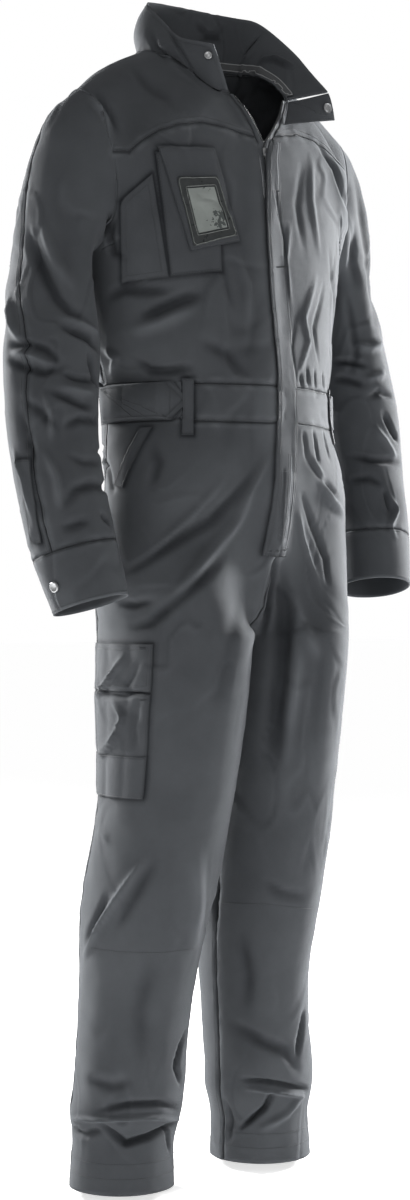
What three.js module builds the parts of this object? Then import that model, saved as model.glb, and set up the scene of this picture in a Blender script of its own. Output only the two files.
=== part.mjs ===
import * as THREE from "three";

// Driving sizes, millimetres. Z is up, the front faces -Y, the wearer's right is at -X,
// and the origin lies between the shoulders at the height of the neck points.
const CLOTH = 1.6;
const COLLAR_CLOTH = 2.4;
const POCKET_CLOTH = 1.2;
const SEAM_GAP = 0.3;
const WAIST_TOP = -453;
const WAIST_FOOT = -503;
const ZIP_FOOT = -660;
const ZIP_HALF = 6.5;
const CROTCH = -775;
const CROTCH_HALF = 0.6;
const HEM = -1497;
const CUFF_TOP = -665;
const CUFF_FOOT = -733;
const SIDE_SEAM = { chest: 90, waist: 98, hip: 110 };
const FRONT_COLUMNS = 10;
const BACK_COLUMNS = 8;
const ARMHOLE_STEPS = 18;
const YOKE_STEP = 4;
const SIDES = [
  { name: "right", sign: -1 },
  { name: "left", sign: 1 },
];

const TWILL = 0x4a4e51;
const TWILL_SHADE = 0x424649;
const TRIM = 0x2f3235;
const METAL = 0x8d9194;

function table(columns, ...values) {
  return values.map((row) => Object.fromEntries(columns.map((name, i) => [name, row[i]])));
}

// Body rings from the neckline down to the waist: half width, front and back depth, and the
// height of the ring at its front, side and back
const BODY = table(
  ["ring", "half", "front", "back", "zFront", "zSide", "zBack"],
  [0, 94, -84, 74, -85, -10, -2],
  [1, 118, -88, 90, -92, -26, -30],
  [2, 152, -94, 97, -105, -44, -62],
  [3, 190, -100, 102, -125, -60, -95],
  [4, 222, -106, 106, -150, -78, -130],
  [5, 236, -112, 110, -185, -115, -170],
  [6, 230, -118, 112, -225, -175, -215],
  [7, 218, -123, 112, -265, -235, -258],
  [8, 208, -127, 110, -300, -290, -298],
  [9, 202, -133, 104, -345, -345, -345],
  [10, 192, -139, 98, -395, -395, -395],
  [11, 179, -146, 98, -432, -432, -432],
  [12, 171, -147, 100, WAIST_TOP, WAIST_TOP, WAIST_TOP],
);
const BODY_MIDDLE = 5;

// Hip rings below the waistband: side is the depth at which the ring is widest
const HIPS = table(
  ["z", "half", "front", "back", "side"],
  [WAIST_TOP, 171, -147, 100, 5],
  [WAIST_FOOT, 171, -147, 99, 0],
  [-535, 182, -147, 92, -18],
  [-585, 189, -147, 66, -33],
  [-640, 190, -138, 78, -33],
  [-700, 190, -133, 85, -32],
  [CROTCH, 190, -133, 85, -32],
);

// Trouser leg rings
const LEG = table(
  ["z", "x", "y", "halfX", "halfY"],
  [WAIST_FOOT, 92, -22, 92, 122],
  [-560, 95, -33, 95, 112],
  [-640, 95, -28, 95, 111],
  [-700, 92, -27, 92, 118],
  [CROTCH, 87, -26, 87, 126],
  [-860, 88, -23, 86, 119],
  [-990, 92, -16, 82, 102],
  [-1120, 100, 10, 80, 98],
  [-1240, 106, 28, 72, 84],
  [-1320, 112, 30, 71, 79],
  [-1370, 117, 31, 74, 77],
  [-1400, 120, 33, 76, 78],
  [-1432, 122, 34, 68, 70],
  [HEM, 125, 35, 71, 71],
);
const LEG_ROWS = [
  WAIST_FOOT, -530, -560, -592, -625, ZIP_FOOT, -690, -715, -738, -757, -769, CROTCH,
  -800, -838, -880, -925, -972, -1020, -1068, -1116, -1162, -1206, -1248, -1286, -1320,
  -1350, -1376, -1400, -1418, -1436, -1456, HEM,
];
const RISE = { frontTop: ZIP_FOOT, backTop: -640, merge: 270 };

// Sleeve rings: centre, half widths and how far the two sleeve seams have turned forwards
const SLEEVE = table(
  ["z", "x", "y", "halfX", "halfY", "turn"],
  [-305, 254, 20, 41, 67, 12],
  [-345, 261, 15, 51, 67, 22],
  [-403, 264, 6, 60, 64, 38],
  [-450, 271, -2, 62, 62, 40],
  [-529, 277, -14, 58, 58, 40],
  [-580, 274, -22, 57, 57, 40],
  [-630, 269, -33, 57, 57, 40],
  [CUFF_TOP, 264, -42, 57, 56, 40],
  [CUFF_FOOT, 254, -60, 51, 50, 40],
);
// The left arm is a little higher than the right: what its wrist gains, from the forearm down
const FOREARM_TOP = -500;
const WRIST_LIFT = { right: -5, left: 19 };
const SLEEVE_ROWS = [
  -305, -328, -352, -376, -400, -424, -448, -474, -502, -530, -560, -592, -628, CUFF_TOP,
];
const CUFF_ROWS = [CUFF_TOP, -700, CUFF_FOOT];
const HEAD_ROWS = 6;
const SLEEVE_SEAMS = { back: 17, under: 10 };

// Armhole: how far it cuts forwards and backwards from the side, and its rings
const ARMHOLE = { front: 27, back: 26, middle: 6, reach: 2 };

// Neckline and the collar's upper edge, from the right front end round the back to the left.
// at counts the yoke's columns; belly is how far the collar swells between the two.
const YOKE_COLUMNS = 2 * (FRONT_COLUMNS + 2 * YOKE_STEP + BACK_COLUMNS);
const NECK = table(
  ["at", "x", "y", "z", "topX", "topY", "topZ", "belly"],
  [0, -35, -76, -70, -64, -77, -11, 4],
  [5, -58, -66, -64, -72, -60, -5, 6],
  [10, -84, -24, -24, -79, -29, 5, 8],
  [14, -95, 8, -10, -74, 0, 25, 12],
  [18, -92, 44, -4, -69, 36, 54, 14],
  [21, -62, 66, -2, -58, 62, 72, 12],
  [26, 0, 74, -2, 0, 67, 77, 6],
  [31, 62, 64, -3, 60, 58, 75, 2],
  [34, 90, 42, -6, 84, 42, 71, 2],
  [38, 95, 8, -12, 108, 16, 61, 3],
  [42, 94, -24, -28, 130, -24, 20, 4],
  [47, 86, -54, -50, 128, -64, -18, 4],
  [52, 76, -68, -62, 121, -102, -51, 2],
);

// Yoke seam on the front: its ring at the opening and the step by which the left one is higher
const YOKE_SEAM = { front: 3.1, leftLift: 0.35, back: 4.6, drop: 0.25 };
const FRONT_RINGS = [3.1, 3.5, 4.2, 5.0, 5.8, 6.6, 7.4, 8.2, 9.0, 9.6, 10.2, 10.8, 11.4, 12];
const BACK_RINGS = [4.6, 5.2, 5.8, 6.3, 6.8, 7.3, 7.8, 8.4, 9.0, 9.6, 10.2, 10.8, 11.4, 12];
const LOWER_SIDE_RINGS = [8.5, 9, 9.5, 10, 10.5, 11, 11.5, 12];
const V_FOOT = { ring: 3.5, belly: 7 };

const radians = THREE.MathUtils.degToRad;
const mix = THREE.MathUtils.lerp;

function smooth(t) {
  return THREE.MathUtils.smoothstep(t, 0, 1);
}

// Reads one column of a table between its rows, along a smooth curve
function sample(rows, key, at, column) {
  const falling = rows[rows.length - 1][key] < rows[0][key];
  let i = 0;
  while (i < rows.length - 2 && (falling ? at < rows[i + 1][key] : at > rows[i + 1][key])) i += 1;
  const a = rows[i];
  const b = rows[i + 1];
  const before = rows[Math.max(i - 1, 0)];
  const after = rows[Math.min(i + 2, rows.length - 1)];
  const span = b[key] - a[key];
  const t = THREE.MathUtils.clamp((at - a[key]) / span, 0, 1);
  const rise = b[column] - a[column];
  const slopeA = before === a ? rise : ((b[column] - before[column]) / (b[key] - before[key])) * span;
  const slopeB = after === b ? rise : ((after[column] - a[column]) / (after[key] - a[key])) * span;
  const t2 = t * t;
  const t3 = t2 * t;
  return (
    (2 * t3 - 3 * t2 + 1) * a[column] +
    (t3 - 2 * t2 + t) * slopeA +
    (3 * t2 - 2 * t3) * b[column] +
    (t3 - t2) * slopeB
  );
}

// A point of the body at an angle from the front centre, 180 at the back centre
function bodyPoint(sign, angle, ring) {
  const read = (column) => sample(BODY, "ring", ring, column);
  const c = Math.cos(radians(angle));
  const s = Math.sin(radians(angle));
  const depth = c > 0 ? read("front") : read("back");
  const height = c > 0 ? read("zFront") : read("zBack");
  return new THREE.Vector3(
    sign * read("half") * s,
    BODY_MIDDLE + (depth - BODY_MIDDLE) * Math.abs(c),
    mix(read("zSide"), height, c * c),
  );
}

function hipPoint(sign, angle, z) {
  const read = (column) => sample(HIPS, "z", z, column);
  const c = Math.cos(radians(angle));
  const side = read("side");
  const depth = c > 0 ? read("front") : read("back");
  return new THREE.Vector3(
    sign * read("half") * Math.sin(radians(angle)),
    side + (depth - side) * Math.abs(c),
    z,
  );
}

function legRingPoint(sign, turn, z) {
  const read = (column) => sample(LEG, "z", z, column);
  const x = read("x") - read("halfX") * Math.cos(radians(turn));
  const y = read("y") - read("halfY") * Math.sin(radians(turn));
  return new THREE.Vector3(sign * Math.max(x, z > CROTCH ? 0 : CROTCH_HALF), y, z);
}

// Below the rise each half of the hips closes into a leg. The curve of the rise is a
// quarter ellipse at the two centre seams and a soft change everywhere else.
function legPoint(sign, angle, z) {
  const top = angle < 90 ? RISE.frontTop : RISE.backTop;
  const t = THREE.MathUtils.clamp((top - z) / (top - CROTCH), 0, 1);
  const atSeam = 1 - Math.sqrt(1 - t * t);
  const elsewhere = smooth((WAIST_FOOT - z) / RISE.merge);
  const away = Math.sin(radians(angle)) ** 0.8;
  const blend = mix(atSeam, elsewhere, away);
  return hipPoint(sign, angle, z).lerp(legRingPoint(sign, 2 * angle, z), blend);
}

function sideAngle(z) {
  return mix(SIDE_SEAM.waist, SIDE_SEAM.hip, smooth((WAIST_FOOT - z) / 90));
}

function zipAngle(sign, z) {
  if (z < ZIP_FOOT) return 0;
  const half = z === ZIP_FOOT ? ZIP_HALF / 4 : ZIP_HALF;
  return THREE.MathUtils.radToDeg(Math.asin(half / sample(HIPS, "z", z, "half")));
}

// The armhole, counted from the shoulder tip forwards, down, and up the back
function armholeAt(step) {
  const turn = (2 * Math.PI * step) / ARMHOLE_STEPS;
  const cut = Math.sin(turn) > 0 ? ARMHOLE.front : ARMHOLE.back;
  return {
    angle: 90 - cut * Math.sin(turn),
    ring: ARMHOLE.middle - ARMHOLE.reach * Math.cos(turn),
  };
}

function armholePoint(sign, step) {
  const { angle, ring } = armholeAt(step);
  return bodyPoint(sign, angle, ring);
}

// The edge of a front at the opening: the zip below the V, the spread edge above it
function openingEdge(sign, ring, inset) {
  const foot = bodyPoint(sign, 0, V_FOOT.ring);
  if (ring >= V_FOOT.ring) {
    const half = sample(BODY, "ring", ring, "half");
    return bodyPoint(sign, THREE.MathUtils.radToDeg(Math.asin(inset / half)), ring);
  }
  const corner = NECK[sign < 0 ? 0 : NECK.length - 1];
  const t = 1 - ring / V_FOOT.ring;
  const top = new THREE.Vector3(corner.x - sign * ZIP_HALF, corner.y, corner.z);
  const edge = foot.lerp(top, t);
  edge.y -= V_FOOT.belly * Math.sin(Math.PI * t);
  edge.x += sign * inset;
  return edge;
}

function yokeSeamRing(sign, across) {
  const start = YOKE_SEAM.front - (sign > 0 ? YOKE_SEAM.leftLift : 0);
  const junction = armholeAt(YOKE_STEP).ring;
  return mix(start, junction, smooth((across - YOKE_SEAM.drop) / (1 - YOKE_SEAM.drop)));
}

function frontSideRing(row) {
  const last = ARMHOLE_STEPS / 2;
  return row + YOKE_STEP <= last ? armholeAt(row + YOKE_STEP) : null;
}

function lowerSide(row) {
  const ring = LOWER_SIDE_RINGS[row - (ARMHOLE_STEPS / 2 - YOKE_STEP + 1)];
  return { ring, angle: mix(SIDE_SEAM.chest, SIDE_SEAM.waist, (ring - 8) / 4) };
}

function frontPoint(sign, row, column) {
  const across = column / FRONT_COLUMNS;
  const side = frontSideRing(row) ?? lowerSide(row);
  const startRing = row === 0 ? yokeSeamRing(sign, 0) : FRONT_RINGS[row];
  const edge = openingEdge(sign, startRing, ZIP_HALF);
  if (column === 0) return edge;
  const half = sample(BODY, "ring", startRing, "half");
  const startAngle = THREE.MathUtils.radToDeg(Math.asin(Math.min(Math.abs(edge.x) / half, 1)));
  const ring = mix(startRing, side.ring, smooth((across - YOKE_SEAM.drop) / (1 - YOKE_SEAM.drop)));
  const point = bodyPoint(sign, mix(startAngle, side.angle, across), ring);
  const drift = edge.clone().sub(bodyPoint(sign, startAngle, startRing));
  return point.addScaledVector(drift, (1 - across) ** 3);
}

function backPoint(row, column) {
  const across = (column - BACK_COLUMNS) / BACK_COLUMNS;
  const sign = across < 0 ? -1 : 1;
  const backStep = ARMHOLE_STEPS - YOKE_STEP - row;
  const side = backStep >= ARMHOLE_STEPS / 2 ? armholeAt(backStep) : lowerSide(row);
  const reach = Math.abs(across);
  return bodyPoint(sign, mix(180, side.angle, reach), mix(BACK_RINGS[row], side.ring, reach));
}

// The yoke's outer edge, column by column: front seam, armhole, back seam and round again
function yokeEdge(column) {
  const half = YOKE_COLUMNS / 2;
  const sign = column <= half ? -1 : 1;
  const at = column <= half ? column : YOKE_COLUMNS - column;
  if (at <= FRONT_COLUMNS) return frontPoint(sign, 0, at);
  const step = YOKE_STEP - (at - FRONT_COLUMNS);
  if (step >= -YOKE_STEP) return armholePoint(sign, (step + ARMHOLE_STEPS) % ARMHOLE_STEPS);
  const backColumn = at - FRONT_COLUMNS - 2 * YOKE_STEP;
  return backPoint(0, sign < 0 ? backColumn : 2 * BACK_COLUMNS - backColumn);
}

function neckPoint(column) {
  const read = (name) => sample(NECK, "at", column, name);
  return new THREE.Vector3(read("x"), read("y"), read("z"));
}

function collarPoint(column, up) {
  const read = (name) => sample(NECK, "at", column, name);
  const base = neckPoint(column);
  const point = base.clone().lerp(new THREE.Vector3(read("topX"), read("topY"), read("topZ")), up);
  const outwards = new THREE.Vector3(base.x, base.y - BODY_MIDDLE, 0).normalize();
  return point.addScaledVector(outwards, read("belly") * Math.sin(Math.PI * up));
}

// The shoulder is rounded: the middle of each yoke line stands a little above the chord
function yokePoint(column, down) {
  const neck = neckPoint(column);
  const edge = yokeEdge(column);
  if (down === 0) return neck;
  if (down === 1) return edge;
  const isOpening = column === 0 || column === YOKE_COLUMNS;
  const sign = column <= YOKE_COLUMNS / 2 ? -1 : 1;
  if (isOpening) return openingEdge(sign, yokeSeamRing(sign, 0) * down, ZIP_HALF);
  const point = neck.lerp(edge, down);
  const outwards = new THREE.Vector3(point.x * 0.35, point.y - BODY_MIDDLE, 60).normalize();
  const openness = Math.min(1, Math.min(column, YOKE_COLUMNS - column) / 6);
  return point.addScaledVector(outwards, 9 * openness * Math.sin(Math.PI * down));
}

function wristRise(sign, z) {
  const share = THREE.MathUtils.smoothstep(-z, -FOREARM_TOP, -CUFF_TOP);
  return share * (sign < 0 ? WRIST_LIFT.right : WRIST_LIFT.left);
}

function sleeveRing(sign, z, step) {
  const read = (column) => sample(SLEEVE, "z", z, column);
  const centre = new THREE.Vector3(sign * read("x"), read("y"), z);
  const low = Math.max(z - 5, CUFF_FOOT);
  const along = (column) => sample(SLEEVE, "z", low, column) - sample(SLEEVE, "z", low + 5, column);
  const axis = new THREE.Vector3(sign * along("x"), along("y"), -5).normalize();
  if (z > CUFF_TOP + 120) axis.lerp(new THREE.Vector3(0, 0, -1), 0.5).normalize();
  const out = new THREE.Vector3(sign, 0, 0);
  out.addScaledVector(axis, -out.dot(axis)).normalize();
  const front = new THREE.Vector3(0, -1, 0);
  front.addScaledVector(axis, -front.dot(axis)).normalize();
  const turn = (2 * Math.PI * step) / ARMHOLE_STEPS + radians(read("turn"));
  centre.addScaledVector(out, read("halfX") * Math.cos(turn));
  centre.addScaledVector(front, read("halfY") * Math.sin(turn));
  centre.z += wristRise(sign, z);
  return centre;
}

// The sleeve head leaves the armhole outwards and bends down into the sleeve
function sleeveHead(sign, step, down) {
  const start = armholePoint(sign, step);
  if (down === 0) return start;
  const end = sleeveRing(sign, SLEEVE[0].z, step);
  const length = start.distanceTo(end);
  const out = new THREE.Vector3(sign, 0, -0.42).normalize().multiplyScalar(length * 0.85);
  const into = new THREE.Vector3(0, 0, -1).multiplyScalar(length * 1.15);
  const d2 = down * down;
  const d3 = d2 * down;
  return start
    .multiplyScalar(2 * d3 - 3 * d2 + 1)
    .addScaledVector(out, d3 - 2 * d2 + down)
    .addScaledVector(end, 3 * d2 - 2 * d3)
    .addScaledVector(into, d3 - d2);
}

function sleevePoint(sign, row, step) {
  if (row < HEAD_ROWS) return sleeveHead(sign, step, row / HEAD_ROWS);
  return sleeveRing(sign, SLEEVE_ROWS[row - HEAD_ROWS], step);
}

// A panel is a grid of points on the outside of the cloth
function panel(name, rowCount, columnCount, pointAt, options = {}) {
  const points = [];
  for (let r = 0; r <= rowCount; r += 1) {
    for (let c = 0; c <= columnCount; c += 1) points.push(pointAt(r, c));
  }
  return { name, rowCount, columnCount, points, thickness: CLOTH, colour: TWILL, flip: false, ...options };
}

function index(grid, r, c) {
  return r * (grid.columnCount + 1) + c;
}

function cells(grid) {
  const found = [];
  for (let r = 0; r < grid.rowCount; r += 1) {
    for (let c = 0; c < grid.columnCount; c += 1) {
      const quad = [[r, c], [r + 1, c], [r + 1, c + 1], [r, c + 1]].map(([i, j]) => index(grid, i, j));
      found.push(grid.flip ? quad.reverse() : quad);
    }
  }
  return found;
}

function triangles(grid) {
  return cells(grid).flatMap(([a, b, c, d]) => [[a, b, c], [a, c, d]]);
}

function weldKey(point) {
  return [point.x, point.y, point.z].map((value) => Math.round(value * 20)).join(" ");
}

// One normal for each place on the suit, shared by every panel that meets there
function shareNormals(grids) {
  const sums = new Map();
  const faces = new Map();
  for (const grid of grids) {
    for (const face of triangles(grid)) {
      const [a, b, c] = face.map((i) => grid.points[i]);
      const normal = b.clone().sub(a).cross(c.clone().sub(a));
      for (const corner of [a, b, c]) {
        const key = weldKey(corner);
        if (!sums.has(key)) sums.set(key, new THREE.Vector3());
        if (!faces.has(key)) faces.set(key, []);
        sums.get(key).add(normal);
        if (normal.lengthSq() > 1e-6) faces.get(key).push(normal.clone().normalize());
      }
    }
  }
  for (const grid of grids) {
    grid.normals = grid.points.map((point) => sums.get(weldKey(point)).clone().normalize());
    grid.mitres = grid.points.map((point, i) => {
      const least = Math.min(...faces.get(weldKey(point)).map((face) => face.dot(grid.normals[i])));
      return 1 / Math.max(least, 0.7);
    });
  }
}

// The step square to an edge, in the cloth, that takes a point off it into the panel
function squareStep(from, along, into) {
  const edge = along.clone().sub(from).normalize();
  const step = into.clone().sub(from);
  return step.addScaledVector(edge, -step.dot(edge)).normalize();
}

// The largest folds, each from one place on the cloth to another. width is the distance at
// which it has died away to a third, and depth is below 0 for a trough, above 0 for a ridge.
const FOLDS = table(
  ["x0", "y0", "z0", "x1", "y1", "z1", "width", "depth"],
  [-35, -143, -545, -125, -120, -650, 20, -8],
  [-125, -120, -650, -172, -62, -759, 20, -7],
  [-29, -143, -566, -97, -126, -675, 16, 4],
  [-97, -126, -675, -150, -118, -735, 22, 5],
  [-129, -117, -612, -181, -65, -691, 14, -5],
  [-36, -117, -708, -131, -134, -789, 26, -6],
  [35, -144, -512, 120, -122, -638, 14, 5],
  [40, -142, -556, 98, -126, -651, 13, -5],
  [44, -139, -585, 90, -134, -715, 13, 4],
  [9, -126, -697, 30, -119, -770, 16, -8],
  [-40, 75, -700, -130, 80, -770, 24, -6],
  [40, 75, -690, 130, 80, -775, 24, -6],
  [-167, -53, -1075, -181, 11, -1157, 18, 6],
  [-170, -40, -1050, -184, 15, -1120, 16, -4],
  [-181, 60, -1150, -120, 95, -1120, 22, 7],
  [-150, 92, -1010, -60, 60, -1060, 20, -6],
  [150, 92, -1030, 60, 60, -1070, 20, -6],
  [-180, 10, -1350, -90, -35, -1352, 26, 6],
  [-192, 18, -1386, -84, -35, -1396, 15, -9],
  [-182, -6, -1420, -131, -40, -1418, 16, -7],
  [60, -15, -1352, 150, -20, -1362, 24, 6],
  [52, -2, -1385, 139, -41, -1394, 15, -9],
  [85, -35, -1397, 61, 6, -1444, 14, -6],
  [121, -48, -1316, 75, -38, -1311, 18, -5],
  [-180, 60, -1380, -90, 98, -1392, 16, -8],
  [95, 98, -1386, 180, 60, -1376, 16, -8],
  [-194, -33, -345, -152, -85, -341, 15, -7],
  [-171, -65, -374, -119, -106, -345, 15, -6],
  [-49, -123, -302, -49, -131, -372, 14, 4],
  [-165, -75, -445, -100, -125, -438, 14, -5],
  [194, -33, -350, 150, -90, -345, 15, -6],
  [170, -68, -385, 110, -112, -362, 15, -5],
  [30, -145, -440, 121, -106, -420, 14, -5],
  [-150, 85, -360, -40, 104, -330, 20, -5],
  [150, 85, -350, 50, 104, -375, 20, -5],
  [-120, 95, -410, 20, 100, -425, 18, -5],
  [-60, 108, -200, -150, 90, -260, 22, -5],
  [70, 108, -210, 150, 90, -250, 22, -5],
  [-293, 20, -268, -289, -44, -362, 14, -6],
  [-289, -44, -362, -257, -58, -388, 14, -6],
  [-266, -60, -412, -257, -63, -462, 14, -7],
  [-329, 3, -420, -325, -29, -442, 14, -6],
  [-325, -29, -442, -272, -64, -458, 14, -6],
  [-330, -36, -534, -293, -68, -522, 16, -5],
  [-293, -68, -522, -249, -63, -507, 14, -6],
  [-308, -67, -572, -262, -80, -560, 14, -5],
  [-300, 60, -380, -240, 75, -400, 16, -6],
  [-310, 45, -470, -250, 58, -480, 16, -5],
  [223, -34, -368, 288, -49, -379, 14, -6],
  [224, -43, -452, 280, -66, -479, 14, -7],
  [234, -52, -508, 296, -71, -548, 15, -6],
  [227, -59, -592, 277, -88, -620, 14, -5],
  [290, 60, -390, 240, 75, -410, 16, -6],
  [310, 45, -480, 250, 58, -490, 16, -5],
);

const foldLine = new THREE.Line3();
const foldSpot = new THREE.Vector3();

// How far the folds push a place of the cloth out. A fold fades over its own width at its ends.
function foldDepth(point) {
  let total = 0;
  for (const fold of FOLDS) {
    foldLine.start.set(fold.x0, fold.y0, fold.z0);
    foldLine.end.set(fold.x1, fold.y1, fold.z1);
    foldLine.closestPointToPoint(point, true, foldSpot);
    const away = foldSpot.distanceTo(point) / fold.width;
    if (away < 3) total += fold.depth * Math.exp(-away * away);
  }
  return total;
}

function foldCloth(grids) {
  shareNormals(grids);
  for (const grid of grids) {
    grid.points = grid.points.map((point, i) =>
      point.clone().addScaledVector(grid.normals[i], foldDepth(point)));
  }
  shareNormals(grids);
}

// Moves each edge point of a panel half a seam gap into the panel
function insetEdges(grid) {
  const { rowCount, columnCount, points } = grid;
  const moved = points.map((point) => point.clone());
  const shift = (at, neighbours, into) => {
    const steps = neighbours.map((near) => squareStep(points[at], points[near], points[into]));
    const sum = steps.reduce((total, step) => total.add(step), new THREE.Vector3());
    const share = steps.length === 1 ? 1 : 2 / Math.max(sum.lengthSq(), 1.6);
    moved[at].addScaledVector(sum, (share * SEAM_GAP) / 2);
  };
  for (let c = 0; c <= columnCount; c += 1) {
    const near = [c - 1, c + 1].filter((n) => n >= 0 && n <= columnCount);
    shift(index(grid, 0, c), near.map((n) => index(grid, 0, n)), index(grid, 1, c));
    const beside = near.map((n) => index(grid, rowCount, n));
    shift(index(grid, rowCount, c), beside, index(grid, rowCount - 1, c));
  }
  for (let r = 0; r <= rowCount; r += 1) {
    const near = [r - 1, r + 1].filter((n) => n >= 0 && n <= rowCount);
    shift(index(grid, r, 0), near.map((n) => index(grid, n, 0)), index(grid, r, 1));
    const beside = near.map((n) => index(grid, n, columnCount));
    shift(index(grid, r, columnCount), beside, index(grid, r, columnCount - 1));
  }
  return moved;
}

function rimCells(grid) {
  const { rowCount, columnCount } = grid;
  const loop = [];
  for (let c = 0; c < columnCount; c += 1) loop.push(index(grid, 0, c));
  for (let r = 0; r < rowCount; r += 1) loop.push(index(grid, r, columnCount));
  for (let c = columnCount; c > 0; c -= 1) loop.push(index(grid, rowCount, c));
  for (let r = rowCount; r > 0; r -= 1) loop.push(index(grid, r, 0));
  return grid.flip ? loop.reverse() : loop;
}

// Two panels split the edge that they share the same way, by the order of its ends
const RIM_ORDER = new THREE.Vector3(0.31, 0.53, 0.79);

// The wall of a panel: its outer points, the inner ones one thickness in, and the edges
function wall(grid, outer, inner) {
  const count = outer.length;
  const faces = triangles(grid);
  const all = faces.concat(faces.map(([a, b, c]) => [a + count, c + count, b + count]));
  const loop = rimCells(grid);
  loop.forEach((from, i) => {
    const to = loop[(i + 1) % loop.length];
    const rising = outer[to].dot(RIM_ORDER) > outer[from].dot(RIM_ORDER);
    if (rising) all.push([from, to, to + count], [from, to + count, from + count]);
    else all.push([from, to, from + count], [to, to + count, from + count]);
  });
  return solid([...outer, ...inner], all);
}

function solid(points, faces) {
  const geometry = new THREE.BufferGeometry();
  const places = points.flatMap((p) => [p.x, p.y, p.z]);
  geometry.setAttribute("position", new THREE.Float32BufferAttribute(places, 3));
  geometry.setIndex(faces.flat());
  geometry.computeVertexNormals();
  return geometry;
}

function clothWall(grid) {
  const outer = insetEdges(grid);
  const inner = outer.map((point, i) =>
    point.clone().addScaledVector(grid.normals[i], -grid.thickness * grid.mitres[i]));
  return wall(grid, outer, inner);
}

function finish(colour, roughness = 0.85, metalness = 0) {
  return new THREE.MeshStandardMaterial({ color: colour, roughness, metalness });
}

const suit = new THREE.Group();

function add(name, geometry, material) {
  const mesh = new THREE.Mesh(geometry, material);
  mesh.name = name;
  suit.add(mesh);
  return mesh;
}

function zipRings(sign) {
  const upper = [0, 0.25, 0.5, 0.75].map((down) => yokeSeamRing(sign, 0) * down);
  return [...upper, yokeSeamRing(sign, 0), ...FRONT_RINGS.slice(1)];
}

function zipPoint(sign, row, column) {
  const rings = zipRings(sign);
  if (row < rings.length) return openingEdge(sign, rings[row], column * ZIP_HALF);
  const z = LEG_ROWS[row - rings.length];
  return hipPoint(sign, column * zipAngle(sign, z), z);
}

function bodyPanels({ name, sign }) {
  const flip = sign < 0;
  const zipLegRows = LEG_ROWS.indexOf(ZIP_FOOT) + 1;
  const legColumn = (z, c) => mix(zipAngle(sign, z), sideAngle(z), c / FRONT_COLUMNS);
  return [
    panel(`front_${name}`, FRONT_RINGS.length - 1, FRONT_COLUMNS,
      (r, c) => frontPoint(sign, r, c), { flip }),
    panel(`zip_${name}`, zipRings(sign).length - 1 + zipLegRows, 1, (r, c) => zipPoint(sign, r, c), {
      flip,
      colour: TRIM,
    }),
    panel(`front_leg_${name}`, LEG_ROWS.length - 1, FRONT_COLUMNS,
      (r, c) => legPoint(sign, legColumn(LEG_ROWS[r], c), LEG_ROWS[r]), { flip }),
    panel(`back_leg_${name}`, LEG_ROWS.length - 1, BACK_COLUMNS,
      (r, c) => legPoint(sign, mix(sideAngle(LEG_ROWS[r]), 180, c / BACK_COLUMNS), LEG_ROWS[r]), { flip }),
  ];
}

function sleevePanels({ name, sign }) {
  const flip = sign > 0;
  const rowCount = HEAD_ROWS + SLEEVE_ROWS.length - 1;
  const frontSteps = ARMHOLE_STEPS - SLEEVE_SEAMS.back + SLEEVE_SEAMS.under;
  const backSteps = SLEEVE_SEAMS.back - SLEEVE_SEAMS.under;
  const step = (start, c) => (start + c) % ARMHOLE_STEPS;
  return [
    panel(`sleeve_front_${name}`, rowCount, frontSteps,
      (r, c) => sleevePoint(sign, r, step(SLEEVE_SEAMS.back, c)), { flip }),
    panel(`sleeve_back_${name}`, rowCount, backSteps,
      (r, c) => sleevePoint(sign, r, step(SLEEVE_SEAMS.under, c)), { flip }),
    panel(`cuff_${name}`, CUFF_ROWS.length - 1, ARMHOLE_STEPS,
      (r, c) => sleeveRing(sign, CUFF_ROWS[r], step(SLEEVE_SEAMS.back, c)), { flip, thickness: 2.2 }),
  ];
}

// The waistband: plain in front, and gathered on elastic from side to side behind
const BAND_ROWS = [WAIST_TOP, (WAIST_TOP + WAIST_FOOT) / 2, WAIST_FOOT];
const BAND_SPLIT = 5;
const GATHERS = { count: 38, depth: 1.6, clear: 0.35, end: 0.0015 };

function bandAngle(sign, column) {
  if (column > FRONT_COLUMNS) return mix(SIDE_SEAM.waist, 180, (column - FRONT_COLUMNS) / BACK_COLUMNS);
  return mix(zipAngle(sign, WAIST_TOP), SIDE_SEAM.waist, column / FRONT_COLUMNS);
}

function frontBand({ name, sign }) {
  return panel(`waistband_${name}`, BAND_ROWS.length - 1, BAND_SPLIT,
    (r, c) => hipPoint(sign, bandAngle(sign, c), BAND_ROWS[r]), { flip: sign < 0 });
}

function backBandPoint(row, across) {
  const total = FRONT_COLUMNS + BACK_COLUMNS - BAND_SPLIT;
  const sign = across < 0.5 ? -1 : 1;
  const column = FRONT_COLUMNS + BACK_COLUMNS - Math.abs(across - 0.5) * 2 * total;
  return hipPoint(sign, bandAngle(sign, column), BAND_ROWS[row]);
}

const backBandSteps = 2 * (FRONT_COLUMNS + BACK_COLUMNS - BAND_SPLIT);
const backBand = panel("waistband_back", BAND_ROWS.length - 1, backBandSteps,
  (r, c) => backBandPoint(r, c / backBandSteps), { flip: true });

function gatheredBand() {
  const steps = 2 * GATHERS.count;
  const grid = panel("waistband_back", 1, steps, (r, c) => {
    const point = backBandPoint(2 * r, mix(GATHERS.end, 1 - GATHERS.end, c / steps));
    const out = new THREE.Vector3(point.x, point.y, 0).normalize();
    const wave = c % 2 === 0 || c === 0 || c === steps ? 0 : GATHERS.depth;
    point.z += r === 0 ? -GATHERS.clear : GATHERS.clear;
    return point.addScaledVector(out, -wave);
  }, { flip: true });
  shareNormals([grid]);
  return grid;
}

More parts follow.
